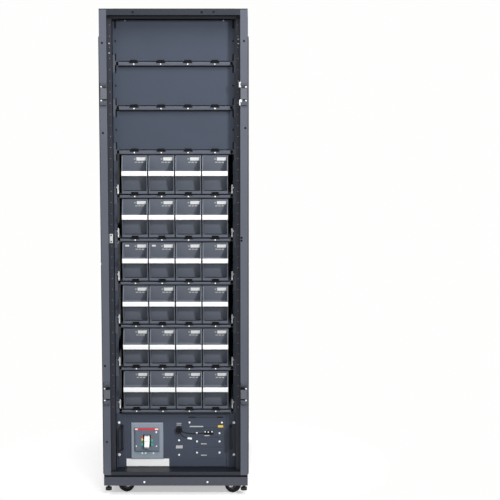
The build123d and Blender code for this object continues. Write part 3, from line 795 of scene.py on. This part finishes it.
def lip_hem(head):
    """A rolled hem from the foot of a lip up to a height over the lip's level."""
    shape = bmesh.new()
    plate(shape, *centred(0, LIP_HALF, (HEM_Y, LIP_Y + SUNK), (HEM_FOOT, head)))
    bevelled(shape, long_front_edges(shape, LIP_Y, LIP_HALF), HEM_ROLL, 4)
    return kept(shape)


lip_shadows = []
for title, levels, head in HEMS:
    hem_spots = [Matrix.Translation((0, 0, z)) for z in levels]
    copies(title, lip_hem(head), hem_spots, "shelf_painted_light")
    for z in levels:
        lip_shadows.append(centred(0, LIP_HALF, proud(LIP_Y, BAND_OUT), (z + head - LAP, z + BAND_TOP)))
        lip_shadows.append(centred(0, LIP_HALF, proud(LIP_Y, LINE_OUT), (z + LINE_FOOT, z + LINE_TOP)))
# Black strips as painted shade above and below each hem
plates("lip_shadow_strips", "black_and_painted_shade", lip_shadows, round_off=0.0004)

# %% [markdown]
# ## Latches, screws and hooks
# A black latch stands on each lip in front of each bay, a wide bar with a narrower tongue on it, and a
# bright screw sits below it. At both ends of a module row a pale hook stands up beside the rail: an
# upright strip with a rivet, and a short arm back to the ear of the shelf. In each ear a square hole of
# the rail shows black, and a black plate stands for it as painted shade.

# %% Lip screws and latches
LIP_SCREW_DROP = 0.0046
LATCH_BACK = LIP_Y - 0.001
LATCH_BAR_HALF = 0.0182
LATCH_BAR_Y = LIP_Y - 0.0062
LATCH_BAR_Z = (-0.0002, 0.0044)
TONGUE_HALF = 0.0125
BLANK_TONGUE_HALF = 0.0140
TONGUE_Y = LIP_Y - 0.0056
TONGUE_Z = (0.0030, 0.0124)


def over(level, heights):
    """Two heights that are given over a level."""
    return level + heights[0], level + heights[1]


lip_places = [(x, HEM_Y, z - LIP_SCREW_DROP) for z in lip_z for x in bay_x]
copies("lip_screws", small_head, at(lip_places, "front"), "bright_screw")
latches = []
for z in lip_z:
    tongue_half = TONGUE_HALF if z in module_lips else BLANK_TONGUE_HALF
    for x in bay_x:
        latches.append(centred(x, LATCH_BAR_HALF, (LATCH_BAR_Y, LATCH_BACK), over(z, LATCH_BAR_Z)))
        latches.append(centred(x, tongue_half, (TONGUE_Y, LATCH_BACK), over(z, TONGUE_Z)))
plates("lip_latches", "black_and_painted_shade", latches, round_off=0.0008)

# %% Row hooks and painted shade of the ear holes
HOOK_X = 0.2322
HOOK_HALF = 0.0027
HOOK_Y = -0.457
HOOK_THICK = 0.002
HOOK_Z = (0.0055, 0.043)
ARM_X = 0.23465
ARM_HALF = 0.00385
ARM_DEPTHS = (HOOK_Y + 0.0015, EAR_Y + 0.001)
ARM_Z = (0.028, 0.034)
RIVET_RISE = 0.012
EAR_WINDOW_X = 0.231
EAR_WINDOW_HALF = 0.0048
EAR_WINDOW_DEPTHS = (EAR_Y + 0.0004, EAR_Y + 0.0016)
EAR_WINDOW_Z = (-0.0088, 0.0048)

hooks = []
rivets = []
for z in module_lips:
    for side in BOTH_SIDES:
        hooks.append(centred(side * HOOK_X, HOOK_HALF, (HOOK_Y, HOOK_Y + HOOK_THICK), over(z, HOOK_Z)))
        hooks.append(centred(side * ARM_X, ARM_HALF, ARM_DEPTHS, over(z, ARM_Z)))
        rivets.append((side * HOOK_X, HOOK_Y, z + RIVET_RISE))
plates("row_hooks", "pale_cover", hooks, round_off=0.0005)
# Black plates as painted shade in the square holes of the rail
ear_hole_shadows = [centred(side * EAR_WINDOW_X, EAR_WINDOW_HALF, EAR_WINDOW_DEPTHS, over(z, EAR_WINDOW_Z))
               for z in lip_z for side in BOTH_SIDES]
plates("ear_hole_shadows", "black_and_painted_shade", ear_hole_shadows, round_off=0.0001)
copies("row_hook_rivets", small_head, at(rivets, "front"), "bright_screw")

# %% [markdown]
# ## Slits of the blank panels
# The photograph shows short black slits at the sides of each blank panel, next to the ears of the
# shelves. A slit this thin would only show the rail behind it in shade, so a black plate stands for
# each one as painted shade.
# At its foot the sheet seems to reach down to the lip, and a plate in the same paint fills that gap.

# %% Panel slits, feet and screws
SLIT_X = 0.2371
SLIT_HALF = 0.0027
SLIT_OUT = 0.0004
SLIT_HEIGHTS = ((-0.0375, -0.0115), (0.0085, 0.0365), (0.084, 0.091), (0.138, 0.171))
PANEL_FOOT_HALF = 0.2345
PANEL_FOOT_Z = (0.0086, 0.0122)
PANEL_SCREW_X = 0.1985
PANEL_SCREW_DROP = 0.0055

panel_low, panel_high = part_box("blank_panels")
panel_y = panel_low.y
foot_depths = (panel_y + 0.0001, panel_y + 0.0018)
slit_shadows = []
feet = []
for z in blank_lips:
    for x in (-SLIT_X, SLIT_X):
        slit_shadows += [centred(x, SLIT_HALF, proud(panel_y, SLIT_OUT), over(z, span)) for span in SLIT_HEIGHTS]
    feet.append(centred(0, PANEL_FOOT_HALF, foot_depths, over(z, PANEL_FOOT_Z)))
# Black plates as painted shade in the slits
plates("panel_slit_shadows", "black_and_painted_shade", slit_shadows, round_off=0.0001)
plates("panel_feet", "panel_paint", feet, round_off=0.0003)
panel_screws = [(side * PANEL_SCREW_X, panel_y, panel_high.z - PANEL_SCREW_DROP) for side in BOTH_SIDES]
copies("panel_screws", small_head, at(panel_screws, "front"), "bright_screw")

# %% [markdown]
# ## Marks and plugs of the posts
# The door stop in each post carries a scale of short ticks, one for each rack unit of 44.45 mm, and a
# few pale dots. Small dark spots on the posts and the header are read as plugs, and a plate on the left
# stop as the striker that the front door shuts on.

# %% Ticks, plugs and dots
RACK_UNIT = 0.04445
TICKS = 36
TICK_LOWEST = 0.37
TICK_X = 0.2565
TICK_HALF = 0.002
TICK_OUT = 0.0003
TICK_Z = (-0.0006, 0.0006)
# Places as X and Z
PLUGS = (
    (-0.284, 1.496), (-0.2866, 0.547), (-0.282, 0.230), (-0.284, 1.8535), (0.2814, 1.8615), (0.287, 1.516),
    (0.2715, 1.0735), (0.2715, 1.062), (-0.161, 1.9745), (0.1135, 1.9745), (0.161, 1.9755),
)
STOP_DOTS = ((-0.258, 1.852), (0.258, 1.852), (-0.258, 1.814), (0.258, 1.869))

tick_levels = [TICK_LOWEST + step * RACK_UNIT for step in range(TICKS)]
ticks = [centred(x, TICK_HALF, proud(STOP_Y, TICK_OUT), over(z, TICK_Z))
         for z in tick_levels for x in (-TICK_X, TICK_X)]
plates("stop_ticks", "grey_print", ticks, round_off=0.0001)
plug_places = [(x, FRONT, z) for x, z in PLUGS]
copies("post_plugs", plug, at(plug_places, "front"), "black_and_painted_shade")
dot_places = [(x, STOP_Y, z) for x, z in STOP_DOTS]
copies("stop_dots", small_head, at(dot_places, "front"), "seal_grey")

# %% Door striker
STRIKER_X = -0.258
STRIKER_HALF = 0.0065
STRIKER_Y = STOP_Y - 0.0018
STRIKER_Z = (1.049, 1.086)
STRIKER_SCREW_Z = (1.055, 1.080)

striker = centred(STRIKER_X, STRIKER_HALF, (STRIKER_Y, STOP_Y + 0.0005), STRIKER_Z)
plates("door_striker", "zinc", [striker], round_off=0.0006)
striker_screws = [(STRIKER_X, STRIKER_Y, z) for z in STRIKER_SCREW_Z]
copies("striker_screws", small_head, at(striker_screws, "front"), "dark_screw")

# %% [markdown]
# ## Hinge seats of the front door
# The front door is off, so the seats of its hinges show. Between the two lugs of a seat the photograph
# shows a paler field with a dark line at both its ends and a white spot near each lug. A raised plate,
# black strips and turned bushes stand for these, the strips a painted shade of the gaps at the ends of
# the plate, and plated ears stand beside the upper right seat.

# %% Hinge seats
SEAT_LOW = 0.433
SEAT_HIGH = 1.652
SEAT_Y = -0.529
BUSH_X = 0.289
SEAT_PLATE_X = 0.28
SEAT_PLATE_HALF = 0.0125
SEAT_PLATE_OUT = 0.0030
SEAT_PLATE_OVER = 0.0060
SEAT_PLATE_UNDER = 0.0055
GAP_X = 0.2759
GAP_HALF = 0.0091
GAP_OUT = 0.0006
LOWER_GAP = 0.0050
# Level, rise and drop of the bushes from it, which the plate ends over and under, and the upper gap
SEATS = ((SEAT_LOW, 0.0205, 0.0280, 0.0115), (SEAT_HIGH, 0.0280, 0.0270, 0.0030))
EAR_DEPTHS = (SEAT_Y - 0.0015, SEAT_Y + 0.002)
# Middle and half width of an ear, its foot and head over the upper seats
EARS = ((0.265, 0.0044, (0.026, 0.047)), (0.26775, 0.00595, (-0.0456, -0.0226)))

bush = turned([(0, 0), (0.0032, 0), (0.0032, 0.0040), (0.0026, 0.0046), (0.0010, 0.0046),
               (0.0009, 0.0030), (0, 0.0030)])
bushes = []
gap_shadows = []
seat_plates = []
for level, rise, drop, upper_gap in SEATS:
    foot = level - drop + SEAT_PLATE_OVER
    head = level + rise - SEAT_PLATE_UNDER
    bushes += [(side * BUSH_X, SEAT_Y, level + lift) for side in BOTH_SIDES for lift in (rise, -drop)]
    for side in BOTH_SIDES:
        plate_x = side * SEAT_PLATE_X
        seat_plates.append(centred(plate_x, SEAT_PLATE_HALF, proud(SEAT_Y, SEAT_PLATE_OUT), (foot, head)))
        gap_depths = proud(SEAT_Y, GAP_OUT)
        gap_shadows.append(centred(side * GAP_X, GAP_HALF, gap_depths, (head, head + upper_gap)))
        gap_shadows.append(centred(side * GAP_X, GAP_HALF, gap_depths, (foot - LOWER_GAP, foot)))
ears = [centred(x, half, EAR_DEPTHS, over(SEAT_HIGH, heights)) for x, half, heights in EARS]
copies("hinge_bushes", bush, at(bushes, "front"), "white_plastic")
plates("hinge_ears", "zinc", ears, round_off=0.0008)
plates("hinge_plates", "hinge_paint", seat_plates, round_off=0.0008)
# Black strips as painted shade in the gaps at the ends of the seat plates
plates("hinge_gap_shadows", "black_and_painted_shade", gap_shadows, round_off=0.0002)

# %% [markdown]
# ## Breaker face
# The breaker's raised face has a red strip across its top, a push button and coloured position
# marks beside the toggle, and a row of small windows below. A wide white plate lies under it. They
# are thin plates on the face, each a little proud so that it catches its own edge of light.

# %% Breaker marks
NOSE_Y = -0.458
FRAME_Y = -0.450
WINDOW_HALF = 3
WINDOW_Z = (160, 166.5)


def on_face(depth, marks, thick=0.0008):
    """Plates on a face at one depth from (low x, high x, low z, high z) in millimetres."""
    boxes = []
    for left, right, low, high in marks:
        corner = (left / 1000, depth - thick, low / 1000)
        boxes.append((corner, (right / 1000, depth + SUNK, high / 1000)))
    return boxes


def window_row(*middles):
    """The marks of small windows in one row."""
    return [(x - WINDOW_HALF, x + WINDOW_HALF, *WINDOW_Z) for x in middles]


# Name, finish, slot, depth of the face, and marks
BREAKER_MARKS = (
    ("breaker_red", "red_mark", "breaker_grey", NOSE_Y,
     [(-173, -72, 262.5, 271.5), (-147, -139.5, 229.5, 236.5), (-105.5, -99, 230.5, 235.5)]),
    ("breaker_white", "white_plastic", "white_plastic", NOSE_Y - 0.0006,
     [(-172, -160, 264.2, 269.8), (-89, -75, 264.2, 269.8)]),
    ("breaker_yellow", "yellow_tag", "breaker_grey", NOSE_Y, [(-145.5, -139.5, 218.5, 228.5)]),
    ("breaker_green", "green_mark", "breaker_grey", NOSE_Y,
     [(-147, -139.5, 198, 207), (-105.5, -99, 212.7, 225.5), (-105.5, -98, 198, 205.5)]),
    ("breaker_windows", "label_paper", "white_plastic", FRAME_Y, window_row(-143, -129, -96.5)),
    ("breaker_lit_windows", "green_mark", "breaker_grey", FRAME_Y, window_row(-154.5, -116.5)),
)
for title, finish, slot, depth, marks in BREAKER_MARKS:
    plates(title, finish, on_face(depth, marks), round_off=0.0003)

# %% Breaker button, screws and plate
BUTTON_X = -0.0837
BUTTON_Z = 0.2544
NOSE_SCREW_X = (BUTTON_X, -0.167)
NOSE_SCREW_Z = 0.195
UNDER_PLATE = (-210, -31.5, 106.5, 138.5)

button = turned([(0, -0.001), (0.0042, -0.001), (0.0042, 0.0016), (0.0036, 0.0022), (0, 0.0024)])
copies("breaker_button", button, at([(BUTTON_X, NOSE_Y, BUTTON_Z)], "front"), "white_plastic")
nose_screws = [(x, NOSE_Y, NOSE_SCREW_Z) for x in NOSE_SCREW_X]
copies("breaker_screws", small_head, at(nose_screws, "front"), "bright_screw")
under_plate = on_face(UNIT_Y, [UNDER_PLATE], thick=0.0012)
plates("breaker_plate", "label_paper", under_plate, round_off=0.0005)

# %% [markdown]
# ## Interface plates
# To the right of the breaker sit four small plates with bright screws, a dark slot along the top,
# a yellow tag and a group of connectors. Printed lines are left as bare pale bars.

# %% Unit screws
CARD_Y = -0.446
# Places as X and Z
CARD_SCREWS = (
    (0.0535, 0.2925), (0.1885, 0.2925), (0.0842, 0.2475), (0.1785, 0.2475),
    (0.0845, 0.212), (0.1785, 0.212), (0.0845, 0.1645), (0.1785, 0.1645),
)
PANEL_SIDE_SCREWS = ((0.010, 0.2165), (0.010, 0.1545))
EAR_SCREW_X = 0.2385
EAR_SCREW_Z = (0.2925, 0.1565)

unit_screws = [(x, CARD_Y, z) for x, z in CARD_SCREWS]
unit_screws += [(x, UNIT_Y, z) for x, z in PANEL_SIDE_SCREWS]
copies("unit_screws", pan_head, at(unit_screws, "front"), "bright_screw")
ear_screws = [(side * EAR_SCREW_X, EAR_Y, z) for side in BOTH_SIDES for z in EAR_SCREW_Z]
copies("ear_screws", wide_head, at(ear_screws, "front"), "bright_screw")

# %% Interface plate marks
PRINT_THICK = 0.0004
CARD_PRINT = ((55, 111, 273, 278), (101, 125, 200, 204), (101, 125, 151.5, 155.5), (116, 137, 235, 239))
PANEL_PRINT = ((0, 20, 287, 290), (0, 20, 280, 283), (-3, 25, 182, 195))
CARD_SLOTS = (
    (49.5, 80, 312.5, 317.5), (169, 193.5, 312.5, 317.5), (80, 169, 314.3, 315.7), (57, 172, 269.2, 270.4),
    (114, 154, 240.5, 257),
)
CARD_TAG = (172, 193.5, 272, 281)
CONNECTORS = ((116.5, 121.5, 250.5, 255.5), (129.5, 134.5, 250, 255), (145, 150, 251, 256))

plates("unit_print", "pale_print", on_face(CARD_Y, CARD_PRINT, PRINT_THICK), round_off=0.0001)
plates("panel_print", "pale_print", on_face(UNIT_Y, PANEL_PRINT, PRINT_THICK), round_off=0.0001)
plates("card_slots", "black_plastic", on_face(CARD_Y, CARD_SLOTS, PRINT_THICK), round_off=0.0001)
plates("card_tag", "yellow_tag", on_face(CARD_Y, [CARD_TAG]), round_off=0.0003)
connectors = on_face(CARD_Y - 0.0004, CONNECTORS, thick=0.003)
plates("card_connectors", "white_plastic", connectors, round_off=0.0005)

# %% [markdown]
# ## Lead of the round socket
# A thin dark lead lies on the panel between the socket and the connectors, and a second one ends in
# a white tag. They are held against the panel all the way, so they are fixed wire, not free cord.
# A smooth curve along a few points with a round bevel makes each, and the result is kept as mesh.

# %% Socket lead
LEAD_RADIUS = 0.0014
TAG_LEAD_RADIUS = 0.001
TAG_PLACE = (0.0545, -0.4457, 0.2252)
TAG_TURN = math.radians(8)
SOCKET_ROUTE = [
    (0.016, -0.4475, 0.257), (0.028, -0.4462, 0.2515), (0.045, -0.4458, 0.2475), (0.066, -0.4465, 0.2455),
    (0.086, -0.4476, 0.2458), (0.102, -0.4476, 0.2475), (0.119, -0.4474, 0.2482),
]
TAG_ROUTE = [
    (0.012, -0.4475, 0.254), (0.017, -0.4462, 0.243), (0.026, -0.4456, 0.234), (0.037, -0.4456, 0.2292),
    (0.047, -0.4456, 0.227),
]


def wire(title, points, radius):
    """A fixed wire along a smooth curve, made a mesh."""
    line = bpy.data.curves.new(title, "CURVE")
    line.dimensions = "3D"
    line.bevel_depth = radius
    line.bevel_resolution = 2
    line.use_fill_caps = True
    spline = line.splines.new("NURBS")
    spline.points.add(len(points) - 1)
    for point, place in zip(spline.points, points):
        point.co = (*place, 1)
    spline.order_u = 3
    spline.use_endpoint_u = True
    holder = bpy.data.objects.new(title, line)
    scene.collection.objects.link(holder)
    mesh = bpy.data.meshes.new_from_object(holder.evaluated_get(bpy.context.evaluated_depsgraph_get()))
    bpy.data.objects.remove(holder)
    shape = bmesh.new()
    shape.from_mesh(mesh)
    return piece(shape, title, "black_plastic")


wire("socket_lead", SOCKET_ROUTE, LEAD_RADIUS)
wire("tag_lead", TAG_ROUTE, TAG_LEAD_RADIUS)
tag_spot = Matrix.Translation(TAG_PLACE) @ Matrix.Rotation(TAG_TURN, 4, "Y")
copies("lead_tag", flat_label(0.019, 0.0078), [tag_spot], "label_paper")

# %% [markdown]
# ## Front skirt of the base
# Two bright screws sit in the front skirt of the base. The photograph shows a black line between the
# skirt and the sill above it, the shade of the gap there, and a black strip stands for it as painted
# shade.

# %% Skirt gap shadow and screws
SKIRT_SHADOW_HALF = 0.2945
SKIRT_SHADOW_OUT = 0.0004
SKIRT_SHADOW_IN = 0.0012
SKIRT_SHADOW_Z = (0.0826, 0.0905)
SKIRT_SCREW_X = 0.130
SKIRT_SCREW_Z = 0.061

skirt_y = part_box("base_cross_rails")[0].y
skirt_shadow = centred(0, SKIRT_SHADOW_HALF, (skirt_y - SKIRT_SHADOW_OUT, skirt_y + SKIRT_SHADOW_IN), SKIRT_SHADOW_Z)
# A black strip as painted shade in the gap between skirt and sill
plates("skirt_gap_shadow", "black_and_painted_shade", [skirt_shadow], round_off=0.0003)
skirt_screws = [(side * SKIRT_SCREW_X, skirt_y, SKIRT_SCREW_Z) for side in BOTH_SIDES]
copies("skirt_screws", pan_head, at(skirt_screws, "front"), "bright_screw")

# %% [markdown]
# ## Rails of the boards
# What carries the boards behind the modules isn't seen, so black cross rails on their front, one
# behind each shelf, are a guess. They close the gap above the shelf lip, which would otherwise let the
# light from behind through.

# %% Board rails
BOARD_RAIL_HALF = 0.240
BOARD_RAIL_Z = (-0.028, 0.034)

board_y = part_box("backplane_boards")[0].y
rail_depths = (board_y - 0.003, board_y - 0.0002)
rails = [centred(0, BOARD_RAIL_HALF, rail_depths, over(z, BOARD_RAIL_Z)) for z in lip_z]
plates("board_rails", "black_plastic", rails, round_off=0.0008)

# %% [markdown]
# ## Perforated sheets of the rear doors
# Each rear leaf holds a sheet punched with close hexagonal holes, so the busbars show through. One
# hole is a capped circle of six sides with its face inset and the middle taken out. Two of them,
# half a pitch apart, tile the plane, so that pair is repeated across and up, trimmed to the window
# and given the thickness of the sheet. Each leaf is made in two halves to keep the meshes small.

# %% Hole pattern
HOLE_PITCH = 0.0085
ROW_STEP = HOLE_PITCH * math.sqrt(3)
WEB = 0.0013
SHEET_THICK = 0.0012
PLAIN_EDGE = 0.005


def repeated(shape, step, count):
    """Copies everything in a bmesh count times, a step apart."""
    first = list(shape.verts) + list(shape.edges) + list(shape.faces)
    for number in range(1, count):
        made = bmesh.ops.duplicate(shape, geom=first)["geom"]
        verts = [part for part in made if isinstance(part, bmesh.types.BMVert)]
        bmesh.ops.translate(shape, vec=Vector(step) * number, verts=verts)


def hole_pair(shape):
    """Two hexagonal rings that tile the plane of the sheet."""
    turn = Matrix.Rotation(math.radians(90), 4, "X")
    bmesh.ops.create_circle(shape, cap_ends=True, segments=6, radius=HOLE_PITCH / math.sqrt(3), matrix=turn)
    middle = list(shape.faces)
    bmesh.ops.inset_individual(shape, faces=middle, thickness=WEB / 2)
    bmesh.ops.delete(shape, geom=middle, context="FACES_ONLY")
    repeated(shape, (HOLE_PITCH / 2, 0, ROW_STEP / 2), 2)


def trimmed(shape, low, high):
    """Cuts away what lies outside the window between two corners."""
    for corner, ways in ((low, ((-1, 0, 0), (0, 0, -1))), (high, ((1, 0, 0), (0, 0, 1)))):
        for way in ways:
            everything = list(shape.verts) + list(shape.edges) + list(shape.faces)
            bmesh.ops.bisect_plane(shape, geom=everything, plane_co=corner, plane_no=way, clear_outer=True)


# %% Perforated leaves


def perforated(title, low, high, rows, body):
    """Some rows of a leaf's sheet: punched middle, plain edge all round the leaf, one thickness."""
    depth = (low.y + high.y) / 2
    inner_low = Vector((low.x + PLAIN_EDGE, depth, low.z + PLAIN_EDGE))
    inner_high = Vector((high.x - PLAIN_EDGE, depth, high.z - PLAIN_EDGE))
    start = inner_low + Vector((-HOLE_PITCH / 3, 0, rows[0] * ROW_STEP - HOLE_PITCH / 3))
    shape = bmesh.new()
    hole_pair(shape)
    repeated(shape, (HOLE_PITCH, 0, 0), int((high.x - low.x) / HOLE_PITCH) + 2)
    repeated(shape, (0, 0, ROW_STEP), rows[1] - rows[0])
    bmesh.ops.translate(shape, vec=start, verts=shape.verts)
    trimmed(shape, inner_low, inner_high)
    bmesh.ops.remove_doubles(shape, verts=shape.verts, dist=1e-5)
    bmesh.ops.recalc_face_normals(shape, faces=shape.faces)
    bmesh.ops.solidify(shape, geom=list(shape.faces), thickness=SHEET_THICK)
    top = max(vert.co.y for vert in shape.verts)
    bmesh.ops.translate(shape, vec=(0, depth + SHEET_THICK / 2 - top, 0), verts=shape.verts)
    near, far = depth - SHEET_THICK / 2, depth + SHEET_THICK / 2
    if rows[0] == 0:
        borders = (
            (low.x, inner_low.x, low.z, high.z),
            (inner_high.x, high.x, low.z, high.z),
            (inner_low.x, inner_high.x, low.z, inner_low.z),
            (inner_low.x, inner_high.x, inner_high.z, high.z),
        )
        for left, right, base, head in borders:
            plate(shape, (left, near, base), (right, far, head))
    return piece(shape, title, "mesh_paint", body)


for side in ("left", "right"):
    node = f"rear_door_{side}_mesh"
    low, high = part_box(node)
    all_rows = int((high.z - low.z) / ROW_STEP) + 2
    half = all_rows // 2
    body = f"rear_door_{side}"
    lower = perforated(f"{node}_lower", low, high, (0, half), body)
    upper = perforated(f"{node}_upper", low, high, (half, all_rows), body)
    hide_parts(node)
    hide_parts(node)

# %% [markdown]
# ## Screws of the busbar rack
# Every bar of the rack is held by black socket screws at nearly even places, and the insulating
# blocks take some of those places. The copper bar has large plated bolts instead, and so has every
# fourth place on the bars below it.

# %% Bar screws
BAR_FACE_Y = 0.372
TOP_BAR_Z = 1.530
GROUP_PITCH = 0.305
BAR_PITCH = 0.067
GROUPS = 4
GROUP_BARS = 4
COPPER_BAR = 7
BOLT_EVERY = 4
BLOCK_PITCH = 0.043
BLOCK_CLEAR = 0.018
SCREW_X = (0.203, 0.157, 0.113, 0.074, 0.037, -0.043, -0.088, -0.123, -0.160, -0.203)
# The two blocks of each bar, from the top bar down, in block pitches from the middle
BLOCK_X = ((-3, 2), (-3, 3), (-3, 2), (-3, 2), (-3, 2), (2, -2), (-3, 4), (3, -4),
           (-2, 3), (-4, 3), (-2, 3), (-3, 1), (-3, 2), (-3, 3), (-3, 2), (-3, 4))

group_tops = [TOP_BAR_Z - group * GROUP_PITCH for group in range(GROUPS)]
levels = [top - bar * BAR_PITCH for top in group_tops for bar in range(GROUP_BARS)]
screws = []
bolts = []
for number, (z, blocks) in enumerate(zip(levels, BLOCK_X)):
    free = [x for x in SCREW_X if all(abs(x - block * BLOCK_PITCH) > BLOCK_CLEAR for block in blocks)]
    for place, x in enumerate(free):
        fourth = number > COPPER_BAR and (place + number) % BOLT_EVERY == 0
        held_by = bolts if number == COPPER_BAR or fourth else screws
        held_by.append((x, BAR_FACE_Y, z))
copies("bar_screws", socket_head, at(screws, "rear"), "dark_screw")
copies("bar_bolts", washer_bolt, at(bolts, "rear"), "bright_screw")

# %% [markdown]
# ## Links, pads and covers of the rack
# Between the bars run short tinned links, copper pads close the lower ends of the risers, and pale
# covers stand behind some of the bars. Each rests against a bar, a riser or the cross bar.

# %% Links, pads and covers
LINK_X = (0.137, -0.022, 0.176, -0.14, 0.056, -0.175, 0.095, -0.105)
LINK_HALF = 0.006
LINK_LAP = 0.012
LINK_DEPTHS = (0.3615, 0.3665)
PAD_X = (0.134, 0.065, -0.0875, -0.18)
PAD_HALF = 0.019
PAD_DEPTHS = (0.3585, 0.3665)
PAD_Z = (0.340, 0.398)
COVER_DEPTHS = (0.334, 0.342)
# Middle and half width of a cover, its foot and head
COVERS = (
    (-0.133, 0.081, (0.392, 0.672)), (-0.0595, 0.0135, (1.275, 1.372)),
    (-0.0595, 0.0135, (1.452, 1.498)), (0.1015, 0.0165, (0.93, 0.985)),
)

links = []
for x, upper, lower in zip(LINK_X, levels[0::2], levels[1::2]):
    links.append(centred(x, LINK_HALF, LINK_DEPTHS, (lower - LINK_LAP, upper + LINK_LAP)))
plates("bar_links", "tinned", links, round_off=0.0006)
pads = [centred(x, PAD_HALF, PAD_DEPTHS, PAD_Z) for x in PAD_X]
plates("riser_pads", "copper", pads, round_off=0.0008)
covers = [centred(x, half, COVER_DEPTHS, heights) for x, half, heights in COVERS]
plates("rack_covers", "pale_cover", covers, round_off=0.0015)

# %% Bracket screws
BRACKET_SCREW_X = 0.2435
BRACKET_Y = 0.445
BRACKET_SCREW_Z = (1.922, 0.202)

bracket_screws = [(side * BRACKET_SCREW_X, BRACKET_Y, z) for side in BOTH_SIDES for z in BRACKET_SCREW_Z]
copies("bracket_screws", pan_head, at(bracket_screws, "rear"), "bright_screw")

# %% [markdown]
# ## Lock gear of the rear doors
# The two lock rods run in guide rings on the left leaf's stile. A ring is a closed profile spun
# round the rod with room to slide, and a short arm ties it to the stile. The handle's plate has a
# red field at its top.

# %% Rod guides and handle field
ROD_X = -0.037
ROD_Y = 0.497
GUIDE_LEVELS = (1.905, 1.32, 0.72, 0.165)
GUIDE_ARM_X = -0.0231
GUIDE_ARM_HALF = 0.0061
GUIDE_ARM_DEPTHS = (0.4945, 0.4995)
GUIDE_ARM_Z = (-0.006, 0.006)
FIELD_X = -0.040
FIELD_HALF = 0.009
FIELD_DEPTHS = (0.5146, 0.5156)
FIELD_Z = (1.0835, 1.0905)

guide = turned([(0.0055, -0.008), (0.0085, -0.008), (0.0085, 0.008), (0.0055, 0.008)], 16, closed=True)
guides = [Matrix.Translation((ROD_X, ROD_Y, z)) for z in GUIDE_LEVELS]
copies("rod_guides", guide, guides, "black_plastic", "rear_door_left")
arms = [centred(GUIDE_ARM_X, GUIDE_ARM_HALF, GUIDE_ARM_DEPTHS, over(z, GUIDE_ARM_Z)) for z in GUIDE_LEVELS]
plates("rod_guide_arms", "black_plastic", arms, round_off=0.0006, body="rear_door_left")
field = centred(FIELD_X, FIELD_HALF, FIELD_DEPTHS, FIELD_Z)
plates("handle_field", "red_mark", [field], round_off=0.0003, body="rear_door_left")

# %% [markdown]
# ## Caster hubs
# Each rubber tyre is moulded on a nylon wheel that shows in the recess on both sides. It is a ring
# with a raised rim, spun round the wheel's own axle, which the frame's joints give.

# %% Caster hubs
hub = turned([(0.0094, 0.0082), (0.0205, 0.0082), (0.0205, 0.0108), (0.0185, 0.0108), (0.0175, 0.0096),
              (0.0130, 0.0096), (0.0118, 0.0112), (0.0094, 0.0112)], 24, closed=True)
for joint in frame["joints"]:
    if not joint["child"].startswith("wheel_"):
        continue
    low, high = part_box("caster_" + joint["child"])
    middle = Matrix.Translation((low + high) / 2)
    axle = Vector(joint["axis"])
    turns = [(side * axle).to_track_quat("Z", "Y").to_matrix().to_4x4() for side in BOTH_SIDES]
    spots = [middle @ turn for turn in turns]
    copies(joint["child"] + "_hubs", hub, spots, "hub_nylon", joint["child"])
